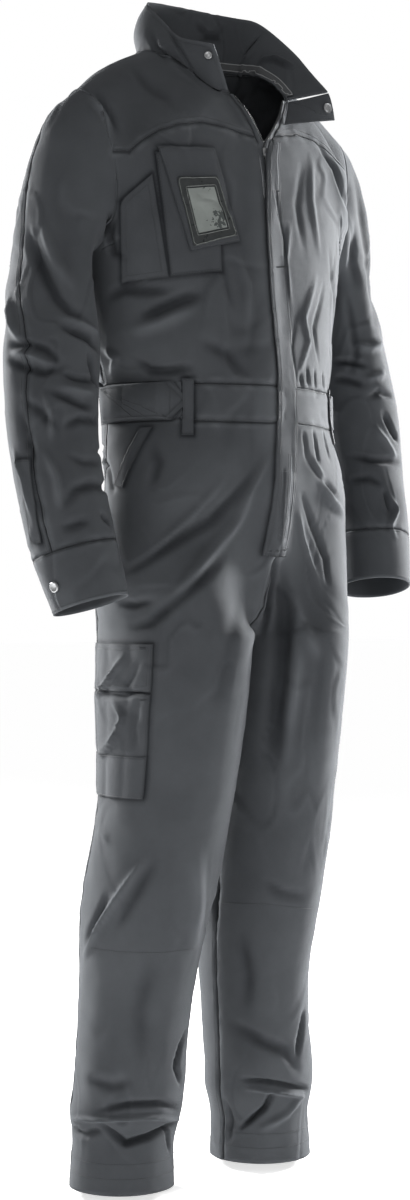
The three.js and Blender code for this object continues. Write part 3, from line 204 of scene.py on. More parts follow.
# Creases are placed where the photograph shows them, by its pixels: the spots that a crease runs
# through, its half width and its depth, below 0 for a trough and above 0 for a ridge.
CREASE_WIDTH = 0.00098
CREASE_DEPTH = 0.00195
HIDDEN_SHARE = 0.85
CREASES = [
    # keel down the front, where the cloth turns from the right side to the storm flap
    ([(254, 150), (259, 200), (263, 260), (266, 330), (269, 400), (272, 470), (272, 545)], 22, 3),
    # left front, standing off towards the armhole
    ([(338, 140), (343, 240), (344, 370)], 26, 4),
    # right front, below the chest pocket and bloused over the waistband
    ([(108, 296), (124, 289), (146, 290), (170, 290)], 8, -4.5),
    ([(140, 318), (158, 311), (178, 302), (202, 292)], 9, -5.5),
    ([(128, 331), (160, 322), (192, 307)], 11, 3),
    ([(236, 250), (248, 285), (247, 325)], 6, 2.5),
    ([(220, 256), (226, 284), (235, 310)], 6, -1.6),
    ([(261, 290), (257, 320), (249, 352)], 8, -1.6),
    ([(135, 359), (150, 371), (168, 371), (192, 367)], 7, -4),
    ([(104, 392), (120, 384), (140, 383), (154, 387)], 6, -3.5),
    ([(105, 350), (116, 358), (112, 374)], 6, 3),
    ([(203, 340), (225, 352), (244, 371)], 10, -2.5),
    # right armhole and shoulder
    ([(112, 212), (109, 236), (113, 252), (124, 257)], 6, -4.5),
    ([(88, 96), (103, 113), (112, 131)], 5, 3),
    ([(96, 92), (112, 114), (119, 133)], 6, -3),
    ([(132, 66), (150, 88), (176, 106)], 10, -2),
    # left front, in soft upright waves
    ([(270, 186), (282, 238), (287, 290)], 4, -1.6),
    ([(320, 146), (333, 168), (343, 212)], 6, -3),
    ([(316, 276), (304, 318), (309, 342), (297, 380)], 5, 2),
    ([(324, 284), (314, 328), (319, 362)], 4, -2),
    ([(290, 226), (285, 262), (291, 304)], 5, 2),
    ([(299, 306), (290, 348), (297, 388)], 5, -1.2),
    ([(329, 252), (335, 300), (330, 356)], 7, -1.8),
    ([(303, 164), (297, 205), (304, 250)], 7, -1.5),
    ([(312, 158), (311, 200), (319, 252)], 7, 1.8),
    # left of the waist, drawn in by the elastic
    ([(300, 371), (302, 388)], 3, -2.2),
    ([(307, 366), (309, 388)], 3, -2.4),
    ([(315, 369), (316, 390)], 3, -2.2),
    ([(323, 372), (324, 390)], 3, -2.2),
    ([(303, 432), (307, 458)], 3, -2.2),
    ([(313, 430), (319, 464)], 3.5, -2.6),
    ([(323, 430), (330, 460)], 3, -2.2),
    # right sleeve, from the shoulder to the elbow
    ([(27, 232), (42, 268), (57, 298), (70, 312), (85, 319)], 8, -4.5),
    ([(40, 222), (56, 262), (74, 290)], 9, 3),
    ([(60, 326), (74, 331), (88, 338), (98, 349)], 6, -5.5),
    ([(62, 316), (80, 322), (98, 334)], 6, 3),
    ([(10, 345), (28, 344), (45, 349), (61, 362)], 6, -4),
    ([(12, 352), (34, 356), (54, 366)], 5, 3),
    ([(9, 360), (24, 367), (44, 372), (65, 366)], 6, -4),
    ([(8, 298), (12, 326), (24, 343)], 8, 4),
    ([(62, 373), (78, 379), (96, 381)], 5, -4),
    ([(60, 385), (80, 391), (99, 393)], 6, 3),
    ([(49, 390), (66, 397), (84, 405), (99, 405)], 6, -4.5),
    ([(88, 352), (93, 372), (101, 392)], 6, -3.5),
    ([(26, 401), (40, 411), (56, 427)], 7, -3),
    ([(44, 393), (50, 415), (51, 438)], 4, 4),
    ([(20, 410), (26, 438), (35, 462)], 7, -3),
    ([(63, 426), (80, 419), (98, 421)], 6, -3),
    # right forearm
    ([(45, 452), (56, 477), (60, 508)], 6, 3.5),
    ([(62, 507), (76, 489), (92, 484), (111, 488)], 7, -4),
    ([(61, 529), (75, 525), (89, 519)], 6, -3),
    ([(101, 514), (110, 523)], 5, -4),
    ([(14, 452), (25, 480), (31, 512)], 5, 3),
    ([(95, 446), (107, 466), (113, 490)], 5, -3),
    ([(70, 455), (84, 462), (100, 462)], 6, -2.5),
    # left sleeve
    ([(352, 150), (368, 250), (378, 330)], 16, -3),
    ([(346, 296), (352, 330), (356, 354), (350, 374)], 6, -3),
    ([(352, 345), (370, 348), (387, 340)], 7, 4),
    ([(333, 362), (350, 362), (367, 366)], 5, -5),
    ([(334, 378), (347, 380), (363, 385)], 6, -4),
    ([(366, 379), (380, 375), (389, 368)], 6, 3),
    ([(368, 397), (380, 392), (392, 396)], 6, -3.5),
    ([(384, 414), (392, 431), (401, 445)], 6, -5),
    ([(372, 425), (385, 441), (396, 459)], 7, 3),
    ([(350, 455), (370, 460), (400, 462)], 6, -4),
    ([(350, 480), (369, 478), (381, 484)], 6, -3),
    ([(390, 496), (397, 510), (390, 526), (396, 537)], 4, 3),
    ([(384, 490), (390, 512)], 4, -3),
    ([(352, 232), (350, 262), (356, 286)], 8, -3),
    # right hip and thigh, drawn from the crotch up to the side
    ([(258, 470), (234, 497), (212, 520), (175, 541), (142, 561), (126, 571)], 8, -4),
    ([(251, 496), (236, 522), (215, 548), (190, 580), (170, 604)], 9, 4.5),
    ([(222, 482), (195, 512), (160, 545), (130, 566)], 5, 2.5),
    ([(222, 558), (200, 580), (176, 600), (151, 622), (134, 627)], 8, -4),
    ([(266, 458), (252, 486), (240, 511)], 6, 3),
    ([(262, 582), (255, 622), (244, 664)], 14, 1.5),
    ([(150, 600), (135, 605), (120, 603)], 6, -3),
    ([(240, 600), (228, 650), (212, 720)], 14, -1.6),
    ([(150, 440), (158, 462), (150, 486)], 8, -2.5),
    # left hip
    ([(302, 494), (314, 531), (325, 558), (327, 584)], 5, -3),
    ([(298, 508), (302, 536), (310, 563), (321, 588)], 5, 2.4),
    ([(312, 459), (331, 499), (344, 516)], 7, 3.5),
    ([(306, 455), (322, 480), (339, 499)], 5, -3.5),
    ([(276, 556), (275, 580), (269, 610), (260, 636)], 6, -6),
    ([(281, 566), (287, 610), (281, 680), (270, 760)], 16, -6),
    ([(287, 566), (295, 612), (292, 690), (284, 770)], 9, 3),
    ([(292, 590), (301, 622), (318, 657)], 10, 3.5),
    ([(300, 640), (295, 668), (283, 728)], 14, 3),
    ([(323, 640), (318, 690), (311, 745)], 10, -1.5),
    # right knee and shin
    ([(146, 858), (122, 892), (102, 922), (84, 956)], 6, 4.5),
    ([(108, 896), (97, 918), (87, 942)], 5, -3.5),
    ([(154, 862), (137, 892), (117, 926)], 8, -3),
    ([(192, 1018), (181, 1046), (176, 1066), (181, 1084)], 5, -5),
    ([(196, 850), (198, 900), (194, 950)], 14, 3),
    ([(99, 832), (108, 838)], 4, 2.5),
    ([(150, 960), (140, 1010), (143, 1060)], 14, -2.5),
    # left knee
    ([(219, 884), (215, 902), (217, 920)], 4, -4),
    ([(262, 880), (280, 893), (306, 897)], 8, -2.5),
    ([(240, 930), (248, 975), (246, 1010)], 12, -3),
    # right ankle, stacked above its hem
    ([(96, 1111), (130, 1104), (160, 1103), (184, 1111)], 5, -5),
    ([(66, 1119), (102, 1120), (150, 1117), (184, 1120)], 3.5, 4.5),
    ([(102, 1125), (126, 1143), (148, 1137), (176, 1123)], 5, -6.5),
    ([(66, 1128), (84, 1134), (104, 1128)], 6, -3),
    ([(166, 1124), (170, 1152)], 4, -3),
    ([(88, 1080), (112, 1086), (132, 1080)], 9, -3),
    # left ankle
    ([(234, 1024), (260, 1040), (285, 1050), (298, 1070)], 9, -4),
    ([(304, 1010), (300, 1038), (297, 1058)], 6, -4.5),
    ([(243, 1079), (274, 1083), (307, 1089)], 4, -6),
    ([(246, 1088), (276, 1092), (304, 1097)], 3.5, 4),
    ([(273, 1092), (265, 1108), (240, 1128)], 4, -7.5),
    ([(302, 1096), (286, 1115), (262, 1130)], 6, 3),
    ([(226, 1100), (232, 1120), (228, 1140)], 5, -3),
    # thigh pocket, rumpled under its flap and in its mouth
    ([(124, 656), (110, 678), (97, 697)], 4, 4),
    ([(140, 662), (128, 684), (132, 694)], 5, -3),
    ([(114, 700), (124, 718), (114, 740), (100, 758)], 4, 4),
    ([(140, 700), (134, 724), (138, 750)], 6, -3),
    ([(92, 690), (118, 696), (148, 690)], 4, -4),
    # collar, rolled over from its stand
    ([(168, 27), (181, 52), (193, 74)], 4, -2),
    ([(167, 58), (180, 73), (196, 87)], 4, 2),
    ([(150, 30), (156, 48), (170, 62)], 6, -2),
    # inside of the collar, where a trough is one that bulges outwards
    ([(241, 60), (250, 47), (261, 35)], 4, 3),
    ([(262, 62), (275, 60), (293, 69)], 5, -3.5),
    ([(250, 72), (262, 82), (278, 90)], 4, 3),
    ([(196, 22), (206, 34), (222, 40)], 5, -2.5),
]
PHOTO_FOCAL = 2239
PHOTO_MIDDLE = (210, 600)
GROUPS = {"sleeve": ("sleeve", "cuff"), "leg": ("front_leg", "back_leg")}


def cloth_group(panel):
    """Which arm or leg a panel belongs to, or the body."""
    for group, starts in GROUPS.items():
        if panel.startswith(starts):
            return group + panel[panel.rindex("_"):]
    return "body"


groups = sorted({cloth_group(panel) for panel in SKIN})
panel_group = np.array([groups.index(cloth_group(panel)) for panel in SKIN])


def pixel_on_cloth(x, y):
    """The place on the uncreased cloth that a pixel of the photograph shows, and its panel."""
    ray = VIEW_AHEAD * PHOTO_FOCAL + VIEW_RIGHT * (x - PHOTO_MIDDLE[0])
    ray.z += PHOTO_MIDDLE[1] - y
    spot, _, face, _ = uncreased_tree.ray_cast(VIEW_MIDDLE - VIEW_AHEAD * CAMERA_AWAY, ray.normalized())
    return (spot, skin_panels[face]) if spot else (None, None)


def across_suit(spot):
    """The place on the suit's hidden side that lies opposite one on the side the photograph shows."""
    ahead = Vector((-VIEW_AHEAD.x, -VIEW_AHEAD.y, 0))
    start = Vector((-spot.x, -spot.y, spot.z)) - ahead
    place, _, face, _ = uncreased_tree.ray_cast(start, ahead)
    return (place, skin_panels[face]) if place else (None, None)


def crease_path(pixels):
    """Places on the cloth along a crease, about 6 pixels apart, and the groups of panels it lies on."""
    found = []
    for (x0, y0), (x1, y1) in zip(pixels, pixels[1:]):
        steps = max(1, round(math.hypot(x1 - x0, y1 - y0) / 6))
        for k in range(steps):
            found.append(pixel_on_cloth(x0 + (x1 - x0) * k / steps, y0 + (y1 - y0) * k / steps))
    found.append(pixel_on_cloth(*pixels[-1]))
    return [(spot, panel) for spot, panel in found if spot]


def distance_to_line(places, points):
    """How far each place is from a line through points, and how far along it, from 0 to 1."""
    points = np.array(points)
    lengths = np.linalg.norm(np.diff(points, axis=0), axis=1)
    whole = lengths.sum()
    away = np.full(len(places), 9.0)
    along = np.zeros(len(places))
    start = 0.0
    for a, b, length in zip(points, points[1:], lengths):
        t = np.clip((places - a) @ (b - a) / length**2, 0, 1)
        near = np.linalg.norm(places - a - t[:, None] * (b - a), axis=1)
        closer = near < away
        away[closer] = near[closer]
        along[closer] = (start + t[closer] * length) / whole
        start += length
    return away, along


def crease_height(places, place_groups):
    """How far the creases push the cloth out, and a little less on the side that is hidden."""
    height = np.zeros(len(places))
    for pixels, width, depth in CREASES:
        shown = crease_path(pixels)
        hidden = [(spot, panel) for spot, panel in (across_suit(spot) for spot, _ in shown) if spot]
        for path, share in ((shown, 1), (hidden, HIDDEN_SHARE)):
            if len(path) > 1:
                points = np.array([spot for spot, _ in path])
                on = {panel_group[panel] for _, panel in path}
                size = (width * CREASE_WIDTH, share * depth * CREASE_DEPTH)
                height += crease(places, place_groups, points, on, *size)
    return height


def crease(places, place_groups, points, on, width, depth):
    """One crease: a soft core that springs back beside it and fades at its ends."""
    height = np.zeros(len(places))
    low, high = points.min(axis=0) - 3 * width, points.max(axis=0) + 3 * width
    near = np.where(((places > low) & (places < high)).all(axis=1) & np.isin(place_groups, list(on)))[0]
    if len(near):
        away, along = distance_to_line(places[near], points)
        s = (away / width) ** 2
        fade = np.clip(4 * along * (1 - along) + 0.15, 0, 1)
        height[near] = depth * np.exp(-s) * (1 - 0.55 * s) * fade
    return height


# Seams: where two panels meet, found as the edges between faces of different panels
seams = {}
rim_vertices = set()
skin_bm = bmesh.new()
skin_bm.from_mesh(skin)
for edge in skin_bm.edges:
    if len(edge.link_faces) == 1:
        rim_vertices.update(v.index for v in edge.verts)
    if len(edge.link_faces) == 2:
        pair = sorted(face.material_index for face in edge.link_faces)
        if pair[0] != pair[1]:
            seams.setdefault(tuple(pair), []).append((edge.verts[0].index, edge.verts[1].index))
skin_bm.free()
seams = {(panel_names[a], panel_names[b]): edges for (a, b), edges in seams.items()}

V_FOOT = -0.134
seam_vertices = set()
for pair, edges in seams.items():
    for v in {v for edge in edges for v in edge}:
        if not ("zip_" in pair[0] + pair[1] and skin_flat[v][2] < V_FOOT):
            seam_vertices.add(v)


def distances_to(vertices):
    """How far each point of the uncreased skin is from the nearest of some of its vertices."""
    tree = point_tree([skin_flat[v] for v in vertices])
    return np.array([tree.find(place)[2] for place in skin_flat])


to_seam = distances_to(seam_vertices)
to_rim = distances_to(rim_vertices)

GROOVE = 0.0011
PUCKER = 0.0014
CRUMPLE = 0.0013
KEPT_CREASE = 0.0009
KEPT_WIDTH = 0.065
GROOVE_WIDTH = 0.0022
PUCKER_REACH = 0.009


def kept_crease(place):
    """A small sharp crease where soft noise crosses nought, in patches, as cloth keeps them after long
    wear.
    """
    spot = Vector((place[0] * 17, place[1] * 17, place[2] * 11))
    warp = 1.5 * noise.noise(spot * 0.6)
    line = noise.noise(spot + Vector((warp, warp, warp))) / KEPT_WIDTH
    patch = min(1, max(0, 0.35 + 2 * noise.noise(Vector(place) * 8 + Vector((5, 1, 8)))))
    return line * math.exp(0.5 - 0.5 * line * line) * patch


uneven = np.array([noise.noise(Vector(p) * 14) + 0.5 * noise.noise(Vector(p) * 34) for p in skin_flat])
rippled = np.array([noise.noise(Vector(p) * 75 + Vector((7, 3, 1))) for p in skin_flat])
kept = np.array([kept_crease(p) for p in skin_flat])
vertex_group = np.zeros(len(skin_flat), dtype=int)
for face, corners in enumerate(skin_faces):
    vertex_group[list(corners)] = panel_group[skin_panels[face]]
fold_height = crease_height(skin_flat, vertex_group)
skin_height = (
    fold_height
    + CRUMPLE * uneven
    + KEPT_CREASE * kept
    + PUCKER * rippled * np.exp(-((to_seam / PUCKER_REACH) ** 2))
    - GROOVE * np.exp(-((to_seam / GROOVE_WIDTH) ** 2))
)
skin_places = skin_flat + skin_out * skin_height[:, None]
move_vertices(skin, skin_places)
skin_out = coordinates(skin, "normal")
skin_tree = surface_tree(skin_places, skin_faces)

# The edges of every piece that is sewn on to the skin, sampled 2 mm apart
SEWN_ON = (
    "waist_tab", "belt_loop", "chest_pocket", "badge_pocket", "badge_flap", "side_pocket_welt",
    "thigh_flap", "thigh_pocket", "thigh_panel", "sleeve_placket", "storm_flap",
)
edge_samples = []
for name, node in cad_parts.items():
    if name.startswith(SEWN_ON):
        bm = bmesh.new()
        bm.from_mesh(node.data)
        bmesh.ops.remove_doubles(bm, verts=bm.verts, dist=1e-5)
        for edge in bm.edges:
            if edge.calc_face_angle(0) > SHARP:
                a, b = (v.co.copy() for v in edge.verts)
                steps = max(1, round((b - a).length / 0.002))
                edge_samples += [a.lerp(b, k / steps) for k in range(steps)]
        bm.free()
edge_tree = point_tree(edge_samples)
to_piece = np.array([edge_tree.find(place)[2] for place in skin_flat])

# tone is painted light and shade: below 0 it is painted shade in crease troughs, seam grooves and along
# sewn edges, above 0 it is painted highlight on ridges and beside the seams, where the cloth also rubs
# pale, and a paler band along the open edges
FULL_FOLD = 0.006
RUBBED_AND_HIGHLIT_AT = 0.006
PALE_BAND_WIDTH = 0.003
SHADE_WIDTH = 0.0042
tone = (
    # painted shade in the crease troughs, and painted highlight on the ridges, which also rub pale
    np.clip(fold_height / FULL_FOLD, -1, 1)
    # painted shade and highlight on the two sides of each kept crease
    + 0.25 * kept
    # painted shade in each seam's groove
    - 1.3 * np.exp(-((to_seam / GROOVE_WIDTH) ** 2))
    # painted highlight on the cloth beside each seam, where it also rubs pale
    + (0.5 + rippled) * np.exp(-(((to_seam - RUBBED_AND_HIGHLIT_AT) / PALE_BAND_WIDTH) ** 2))
    # painted shade along the edges of the pieces sewn on
    - 2.0 * np.exp(-((to_piece / SHADE_WIDTH) ** 2))
    # a paler band along the open edges
    + 0.9 * np.exp(-((to_rim / PALE_BAND_WIDTH) ** 2))
)
skin.attributes.new("tone", "FLOAT", "POINT").data.foreach_set("value", tone)


def weave_map(mesh, wrap):
    """A UV map in metres: round a middle and down, or straight on to the cloth where wrap is None."""
    places = coordinates(mesh)
    if wrap is None:
        uv = np.stack([places[:, 0], places[:, 1] + places[:, 2]], axis=1)
    else:
        x, y, radius = wrap
        middle = places.mean(axis=0)
        start = math.atan2(middle[1] - y, middle[0] - x)
        angle = np.arctan2(places[:, 1] - y, places[:, 0] - x) - start
        angle = (angle + math.pi) % (2 * math.pi) - math.pi
        uv = np.stack([angle * radius, places[:, 2]], axis=1)
    corners = np.empty(len(mesh.loops), dtype=int)
    mesh.loops.foreach_get("vertex_index", corners)
    layer = mesh.uv_layers.new(name="weave") if not mesh.uv_layers else mesh.uv_layers[0]
    layer.data.foreach_set("uv", uv[corners].ravel())


def connect(nodes, *links):
    for start, end in links:
        nodes.id_data.links.new(start, end)


def add_node(nodes, kind, values, **settings):
    """A new shader node with its settings, and the values of its sockets."""
    node = nodes.new("ShaderNode" + kind)
    for setting, value in settings.items():
        setattr(node, setting, value)
    for socket, value in values.items():
        node.inputs[socket].default_value = value
    return node


def cloth_finish(name, colour, pale, rib=490):
    """Woven twill: slanting ribs in the weave's direction, uneven yarn, faint fading, and the tone
    attribute's painted shade and highlight, with ridges that also rub pale.
    """
    material = bpy.data.materials.new(name)
    material.use_nodes = True
    nodes = material.node_tree.nodes
    shader = nodes["Principled BSDF"]
    place = add_node(nodes, "TexCoord", {})
    ribs = add_node(
        nodes, "TexWave", {"Scale": rib, "Distortion": 0.7, "Detail Scale": 2},
        wave_type="BANDS", bands_direction="DIAGONAL")
    yarn = add_node(nodes, "TexNoise", {"Scale": 1400, "Detail": 3})
    fading = add_node(nodes, "TexNoise", {"Scale": 9, "Detail": 5, "Roughness": 0.6})
    # tone carries painted shade and painted highlight, with some rubbed paleness, into the twill's colour
    shade_and_wear = add_node(nodes, "Attribute", {}, attribute_name="tone")
    lift = add_node(nodes, "Math", {1: 0.3}, operation="MULTIPLY_ADD")
    spread = add_node(nodes, "Math", {1: 0.55, 2: 0.13}, operation="MULTIPLY_ADD")
    fleck = add_node(nodes, "Math", {1: 0.3}, operation="MULTIPLY_ADD")
    tint = add_node(nodes, "Mix", {}, data_type="RGBA")
    tint.inputs[6].default_value = (*colour, 1)
    tint.inputs[7].default_value = (*pale, 1)
    relief = add_node(nodes, "Bump", {"Strength": 0.35, "Distance": 0.0003})
    slub = add_node(nodes, "Bump", {"Strength": 0.3, "Distance": 0.0004})
    rubbed = add_node(nodes, "MapRange", {"To Min": 0.95, "To Max": 0.8})
    connect(
        nodes,
        (place.outputs["UV"], ribs.inputs["Vector"]),
        (place.outputs["Object"], yarn.inputs["Vector"]),
        (place.outputs["Object"], fading.inputs["Vector"]),
        (fading.outputs["Fac"], spread.inputs[0]),
        (shade_and_wear.outputs["Fac"], lift.inputs[0]),
        (spread.outputs[0], lift.inputs[2]),
        (yarn.outputs["Fac"], fleck.inputs[0]),
        (lift.outputs[0], fleck.inputs[2]),
        (fleck.outputs[0], tint.inputs[0]),
        (tint.outputs[2], shader.inputs["Base Color"]),
        (ribs.outputs["Fac"], relief.inputs["Height"]),
        (yarn.outputs["Fac"], slub.inputs["Height"]),
        (relief.outputs["Normal"], slub.inputs["Normal"]),
        (slub.outputs["Normal"], shader.inputs["Normal"]),
        (fading.outputs["Fac"], rubbed.inputs["Value"]),
        (rubbed.outputs[0], shader.inputs["Roughness"]),
    )
    shader.inputs["Specular IOR Level"].default_value = 0.3
    shader.inputs["Sheen Weight"].default_value = 0.1
    shader.inputs["Sheen Roughness"].default_value = 0.45
    shader.inputs["Sheen Tint"].default_value = (0.8, 0.85, 0.9, 1)
    return material


TWILL = cloth_finish("twill", (0.019, 0.021, 0.025), (0.116, 0.124, 0.135))


def cloth_piece(obj, node, finish=TWILL):
    """Gives a piece of cloth its finish, hangs it from the root and hides the node that it stands for."""
    obj.data.materials.clear()
    obj.data.materials.append(finish)
    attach(obj, "root")
    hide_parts(node)


bpy.ops.object.select_all(action="DESELECT")
skin_object = show("skin", skin)
bpy.context.view_layer.objects.active = skin_object
skin_object.select_set(True)
bpy.ops.object.mode_set(mode="EDIT")
bpy.ops.mesh.select_all(action="SELECT")
bpy.ops.mesh.separate(type="MATERIAL")
bpy.ops.object.mode_set(mode="OBJECT")

for obj in list(bpy.context.selected_objects):
    panel = obj.data.materials[0].name
    facts = SKIN[panel]
    obj.name = obj.data.name = panel + "_cloth"
    weave_map(obj.data, facts["wrap"])
    wall = obj.modifiers.new("wall", "SOLIDIFY")
    wall.thickness = COLLAR_WALL if panel == "collar" else WALL
    wall.offset = -1
    cloth_piece(obj, panel)
    obj.select_set(False)


# Pieces sewn on to the skin: each starts as its node's wall, smoothed, and is set down on the
# creased cloth at the height its node has over the uncreased cloth, lower along its sewn edges.
flat_tree = point_tree(skin_flat)


def soft_copy(node, levels):
    """A node's closed wall as quads, smoothed with its rims kept sharp."""
    bm = bmesh.new()
    bm.from_mesh(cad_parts[node].data)
    bmesh.ops.remove_doubles(bm, verts=bm.verts, dist=1e-5)
    kept_sharp = bm.edges.layers.float.new("crease_edge")
    for edge in bm.edges:
        if edge.calc_face_angle(0) > SHARP:
            edge[kept_sharp] = 1
            edge.smooth = False
    for face in bm.faces:
        face.smooth = True
    make_quads(bm)
    mesh = bpy.data.meshes.new(node)
    bm.to_mesh(mesh)
    bm.free()
    return smoothed(node, mesh, levels)


def rim_distance(mesh):
    """How far each point of a closed wall is from the nearest sharp edge of it."""
    places = coordinates(mesh)
    sharp = {v for edge in mesh.edges if edge.use_edge_sharp for v in edge.vertices}
    tree = point_tree([places[v] for v in sharp])
    return np.array([tree.find(place)[2] for place in places])


def cloth_under(place):
    """The creased cloth under a place that was found on the uncreased cloth: a point and its normal."""
    nearest = flat_tree.find(place)[1]
    moved = Vector(place) + Vector(skin_places[nearest] - skin_flat[nearest])
    spot, _, face, _ = skin_tree.find_nearest(moved)
    normal = Vector((0, 0, 0))
    for v in skin_faces[face]:
        normal += Vector(skin_out[v]) / (1e-4 + (Vector(skin_places[v]) - spot).length)
    return spot, normal.normalized()


def set_down(mesh, hug=0.35, reach=0.005, puff=0.0):
    """Sets a smoothed piece on the creased cloth. hug is the share of its height that its edges lose."""
    rim = rim_distance(mesh)
    edge = np.exp(-((rim / reach) ** 2))
    # painted highlight in a band just inside each piece's sharp edges, and painted shade right on them
    tone = 0.2 * np.exp(-(((rim - 0.0016) / 0.001) ** 2)) - 1.1 * np.exp(-((rim / 0.0009) ** 2))
    mesh.attributes.new("tone", "FLOAT", "POINT").data.foreach_set("value", tone)
    places = coordinates(mesh)
    for i, place in enumerate(places):
        foot, face_normal, _, _ = faceted_tree.find_nearest(Vector(place))
        height = (Vector(place) - foot).dot(face_normal)
        spot, normal = cloth_under(foot)
        places[i] = spot + normal * (height * (1 - hug * edge[i]) + puff * (1 - edge[i]))
    move_vertices(mesh, places)


def laid_copy(node, wrap, levels=2, **how):
    mesh = soft_copy(node, levels)
    set_down(mesh, **how)
    weave_map(mesh, wrap)
    return show(node + "_cloth", mesh)


def overlay(node, cut, area, wrap, levels=2, **how):
    obj = laid_copy(node, wrap, levels, **how)
    cloth_piece(obj, node)
    return obj


BODY_WRAP = (0, 0, 0.17)
LEG_WRAP = (-0.1, 0, 0.09)


# Storm flap: a doubled strip of twill that closes left over right across the zip,
# and its upper end, folded out over the left front and caught in the collar's lower edge.
FOLD_REACH = 0.016
overlay("storm_flap", (0.042, 0.56), 0.0215, BODY_WRAP, hug=0.2)
flap_top = show("flap_top_cloth", soft_copy("flap_top", 2))
collar_faces = np.where(skin_panels == panel_names.index("collar"))[0]
collar_tree = surface_tree(skin_places, [skin_faces[face] for face in collar_faces])
flap_top_places = coordinates(flap_top.data)
for i, place in enumerate(flap_top_places):
    spot, _, _, gap = collar_tree.find_nearest(Vector(place))
    flap_top_places[i] += 0.95 * math.exp(-((gap / FOLD_REACH) ** 2)) * (np.array(spot) - place)
move_vertices(flap_top.data, flap_top_places)
weave_map(flap_top.data, BODY_WRAP)
cloth_piece(flap_top, "flap_top")


# Elastic waist: the back of the waistband, a folded strip of twill. It is gathered on a hidden
# elastic between the two side tabs and sewn to the back and the legs.
waistband_back = show("waistband_back_cloth", soft_copy("waistband_back", 2))
weave_map(waistband_back.data, BODY_WRAP)
cloth_piece(waistband_back, "waistband_back")


# Waist tabs and belt loops: doubled strips of twill. The tabs run forwards from the gathers to
# draw the waist in, and a loop is sewn over the end of each with bar tacks.
for side in ("right", "left"):
    overlay(f"waist_tab_{side}", (0.21, 0.0355), 0.0074, BODY_WRAP, hug=0.1)
    overlay(f"belt_loop_{side}", (0.018, 0.07), 0.0012, BODY_WRAP, hug=0.1)


# Chest pocket: a patch of twill with a slanted opening, and a badge pocket over it whose doubled
# flap carries a window. Their folded edges are topstitched to the right front.
overlay("chest_pocket", (0.07, 0.14), 0.0063, BODY_WRAP, levels=3, hug=0.4)
overlay("badge_pocket", (0.085, 0.16), 0.012, BODY_WRAP, hug=0.3)
overlay("badge_flap", (0.085, 0.13), 0.0103, BODY_WRAP, levels=3, hug=0.1, puff=0.0004)


# Badge window: a clear pane, scuffed in its lower corner, under a moulded binding with round edges.
# The pane is welded to the binding, and the binding is stitched on to the badge flap.
def in_finish(obj, finish):
    obj.data.materials.clear()
    obj.data.materials.append(finish)
    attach(obj, "root")


def hard_piece(obj, node, finish):
    """A piece that isn't cloth: its finish, and the node that it stands for."""
    in_finish(obj, finish)
    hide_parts(node)


def speckled(name, dark, pale, patch, roughness, grain, relief, metallic=0.0):
    """A hard finish: two tones in soft patches, an uneven gloss, and a fine grain."""
    material = bpy.data.materials.new(name)
    material.use_nodes = True
    nodes = material.node_tree.nodes
    shader = nodes["Principled BSDF"]
    place = add_node(nodes, "TexCoord", {})
    patches = add_node(nodes, "TexNoise", {"Scale": patch, "Detail": 5})
    fine = add_node(nodes, "TexNoise", {"Scale": grain, "Detail": 3})
    tint = add_node(nodes, "Mix", {}, data_type="RGBA")
    tint.inputs[6].default_value = (*dark, 1)
    tint.inputs[7].default_value = (*pale, 1)
    gloss = add_node(nodes, "MapRange", {"To Min": roughness * 0.7, "To Max": roughness * 1.3})
    bumps = add_node(nodes, "Bump", {"Strength": 0.4, "Distance": relief})
    connect(
        nodes,
        (place.outputs["Object"], patches.inputs["Vector"]),
        (place.outputs["Object"], fine.inputs["Vector"]),
        (patches.outputs["Fac"], tint.inputs[0]),
        (tint.outputs[2], shader.inputs["Base Color"]),
        (patches.outputs["Fac"], gloss.inputs["Value"]),
        (gloss.outputs[0], shader.inputs["Roughness"]),
        (fine.outputs["Fac"], bumps.inputs["Height"]),
        (bumps.outputs["Normal"], shader.inputs["Normal"]),
    )
    shader.inputs["Metallic"].default_value = metallic
    return material


BINDING = speckled("binding", (0.018, 0.021, 0.022), (0.055, 0.06, 0.061), 120, 0.3, 1500, 0.0002)
PANE = speckled("pane", (0.2, 0.22, 0.21), (0.36, 0.39, 0.37), 38, 0.17, 160, 0.0006)
ROUNDING = 0.0006
binding = laid_copy("badge_frame", BODY_WRAP, hug=0)
rounding = binding.modifiers.new("rounding", "BEVEL")
rounding.width = ROUNDING
rounding.segments = 3
rounding.limit_method = "ANGLE"
hard_piece(binding, "badge_frame", BINDING)
hard_piece(laid_copy("badge_window", BODY_WRAP, 3, hug=0, puff=0.0005), "badge_window", PANE)

# The scuffs darken the pane near its lower corner, where patches of noise and nearness meet
SCUFFED_PIXEL = (217, 221)
SCUFFED, _ = pixel_on_cloth(*SCUFFED_PIXEL)
pane_nodes = PANE.node_tree.nodes
pane_place = add_node(pane_nodes, "TexCoord", {})
away = add_node(pane_nodes, "VectorMath", {1: SCUFFED}, operation="DISTANCE")
nearness = add_node(pane_nodes, "MapRange", {"From Max": 0.021, "To Min": 0.66, "To Max": 0.3})
scratches = add_node(pane_nodes, "TexNoise", {"Scale": 150, "Detail": 4})
worn_through = add_node(pane_nodes, "Math", {}, operation="LESS_THAN")
scuffed_tint = add_node(pane_nodes, "Mix", {}, data_type="RGBA")
scuffed_tint.inputs[7].default_value = (0.08, 0.09, 0.088, 1)
clear_tint = pane_nodes["Principled BSDF"].inputs["Base Color"].links[0].from_socket
connect(
    pane_nodes,
    (pane_place.outputs["Object"], away.inputs[0]),
    (pane_place.outputs["Object"], scratches.inputs["Vector"]),
    (away.outputs["Value"], nearness.inputs["Value"]),
    (scratches.outputs["Fac"], worn_through.inputs[0]),
    (nearness.outputs[0], worn_through.inputs[1]),
    (worn_through.outputs[0], scuffed_tint.inputs[0]),
    (clear_tint, scuffed_tint.inputs[6]),
    (scuffed_tint.outputs[2], pane_nodes["Principled BSDF"].inputs["Base Color"]),
)


